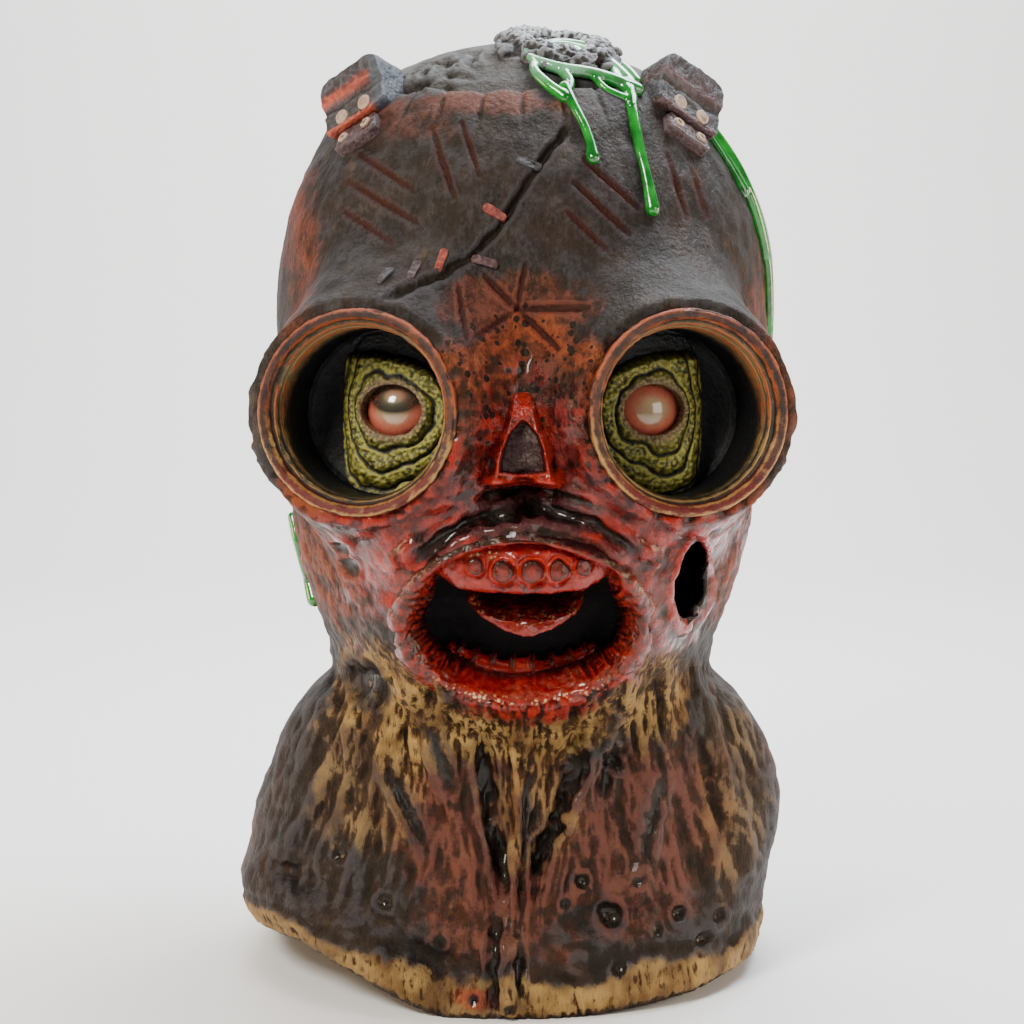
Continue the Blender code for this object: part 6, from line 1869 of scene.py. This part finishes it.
# Columns: bearing in degrees, height, radius.
SIDE_ROWS = (
    ((60, 376, 2.6), (65, 366, 3.4), (70, 350, 3.8), (74, 330, 3.4), (78, 312, 3.0)),
    ((67, 372, 2.2), (71, 352, 2.8), (77, 334, 3.2), (81, 312, 3.2), (82, 292, 2.8)),
    ((78, 314, 2.8), (80, 298, 3.0), (82, 276, 2.8), (83, 262, 3.0), (82, 251, 4.0)),
    ((63, 368, 2.0), (67, 350, 2.2), (69, 338, 3.0)),
    ((70, 350, 2.0), (73, 344, 1.8), (77, 334, 2.0)),
)
CHEEK_ROWS = (
    ((-80, 198, 2.6), (-85, 190, 3.0), (-86, 180, 2.8), (-83, 171, 2.6), (-80, 161.5, 3.6)),
    ((-80, 198, 2.4), (-77, 188, 2.2), (-79, 177, 2.2), (-82, 171, 2.4)),
)
for suffix, table in (("side", SIDE_ROWS), ("cheek", CHEEK_ROWS)):
    runs = [(rows, lambda turn, z, r: on_side(np.radians(turn), z * MM, r)) for rows in table]
    run = melted("slime_" + suffix, runs, RUN_VOXEL)
    finish_piece(run, SLIME, "slime", "slime_" + suffix)

# %% [markdown]
# ## Floor, light and camera
#
# The floor is a plain pale sheet that bends up behind the mask, as in a photographer's studio.
# Large soft lamps stand round it: a key high on the left, a weaker fill, cool light from above
# and behind that draws the dark leather's edge, and a warm glow from low on both sides. The
# camera looks slightly down, as the photograph does.

# %% Floor
FLOOR_HALF, FLOOR_RUN, BEND_START, BEND_RADIUS = 3.0, 6.6, 1.1, 0.6


def floor_shape(u, v):
    """A sheet that runs back from in front of the mask and bends up behind it."""
    run = FLOOR_RUN * v - FLOOR_HALF
    turn = np.clip((run - BEND_START) / BEND_RADIUS, 0, math.pi / 2)
    y = np.minimum(run, BEND_START) + BEND_RADIUS * np.sin(turn)
    wall = np.maximum(run - BEND_START - BEND_RADIUS * math.pi / 2, 0)
    z = CAD_BOX[0][2] + BEND_RADIUS * (1 - np.cos(turn)) + wall
    return np.stack([FLOOR_HALF * (2 * u - 1), y, z], -1), {}


floor = sheet("floor", 8, 160, floor_shape)
FLOOR, tree, shader = material("floor", Roughness=0.75)
shader.inputs["Base Color"].default_value = colour(0.88, 0.88, 0.88)
floor.data.materials.append(FLOOR)
print("floor at", CAD_BOX[0][2])


# %% Light
def lamp(name, place, aim, size, power, tint):
    """A soft square lamp that looks at a place."""
    light = bpy.data.lights.new(name, "AREA")
    light.size = size
    light.energy = power
    light.color = tint
    made = bpy.data.objects.new(name, light)
    bpy.context.scene.collection.objects.link(made)
    made.location = place
    made.rotation_euler = (Vector(aim) - Vector(place)).to_track_quat("-Z", "Y").to_euler()


HEAD_MIDDLE = (0.0, 0.0, 0.22)
lamp("key", (-0.65, -0.95, 1.05), HEAD_MIDDLE, 0.40, 25, (1.0, 0.95, 0.87))
lamp("fill", (0.95, -1.0, 0.45), HEAD_MIDDLE, 0.7, 6, (1.0, 0.95, 0.90))
lamp("crown", (0.35, 0.25, 1.0), HEAD_MIDDLE, 0.5, 13, (0.78, 0.88, 1.0))
lamp("left glow", (-0.95, -0.05, 0.30), HEAD_MIDDLE, 0.4, 5, (1.0, 0.70, 0.42))
lamp("right glow", (0.95, -0.05, 0.30), HEAD_MIDDLE, 0.4, 6, (1.0, 0.74, 0.48))
lamp("backdrop", (0.0, 0.55, 1.5), (0.0, 1.5, 0.6), 1.2, 52, (1.0, 1.0, 1.0))
world = bpy.data.worlds.new("studio")
bpy.context.scene.world = world
world.use_nodes = True
world.node_tree.nodes["Background"].inputs["Color"].default_value = colour(0.92, 0.94, 1.0)
world.node_tree.nodes["Background"].inputs["Strength"].default_value = 0.15

# %% Camera
CAMERA_AIM = Vector((0.0006, -0.1228, 0.21395))
CAMERA_AWAY, CAMERA_DOWN = 0.866, math.radians(7)
camera = bpy.data.objects.new("camera", bpy.data.cameras.new("camera"))
bpy.context.scene.collection.objects.link(camera)
camera.data.lens = 79.1
camera.data.sensor_width = 36.0
camera.location = CAMERA_AIM + CAMERA_AWAY * Vector((0, -math.cos(CAMERA_DOWN), math.sin(CAMERA_DOWN)))
camera.rotation_euler = (CAMERA_AIM - camera.location).to_track_quat("-Z", "Y").to_euler()
bpy.context.scene.camera = camera
print("camera at", [round(value, 4) for value in camera.location])
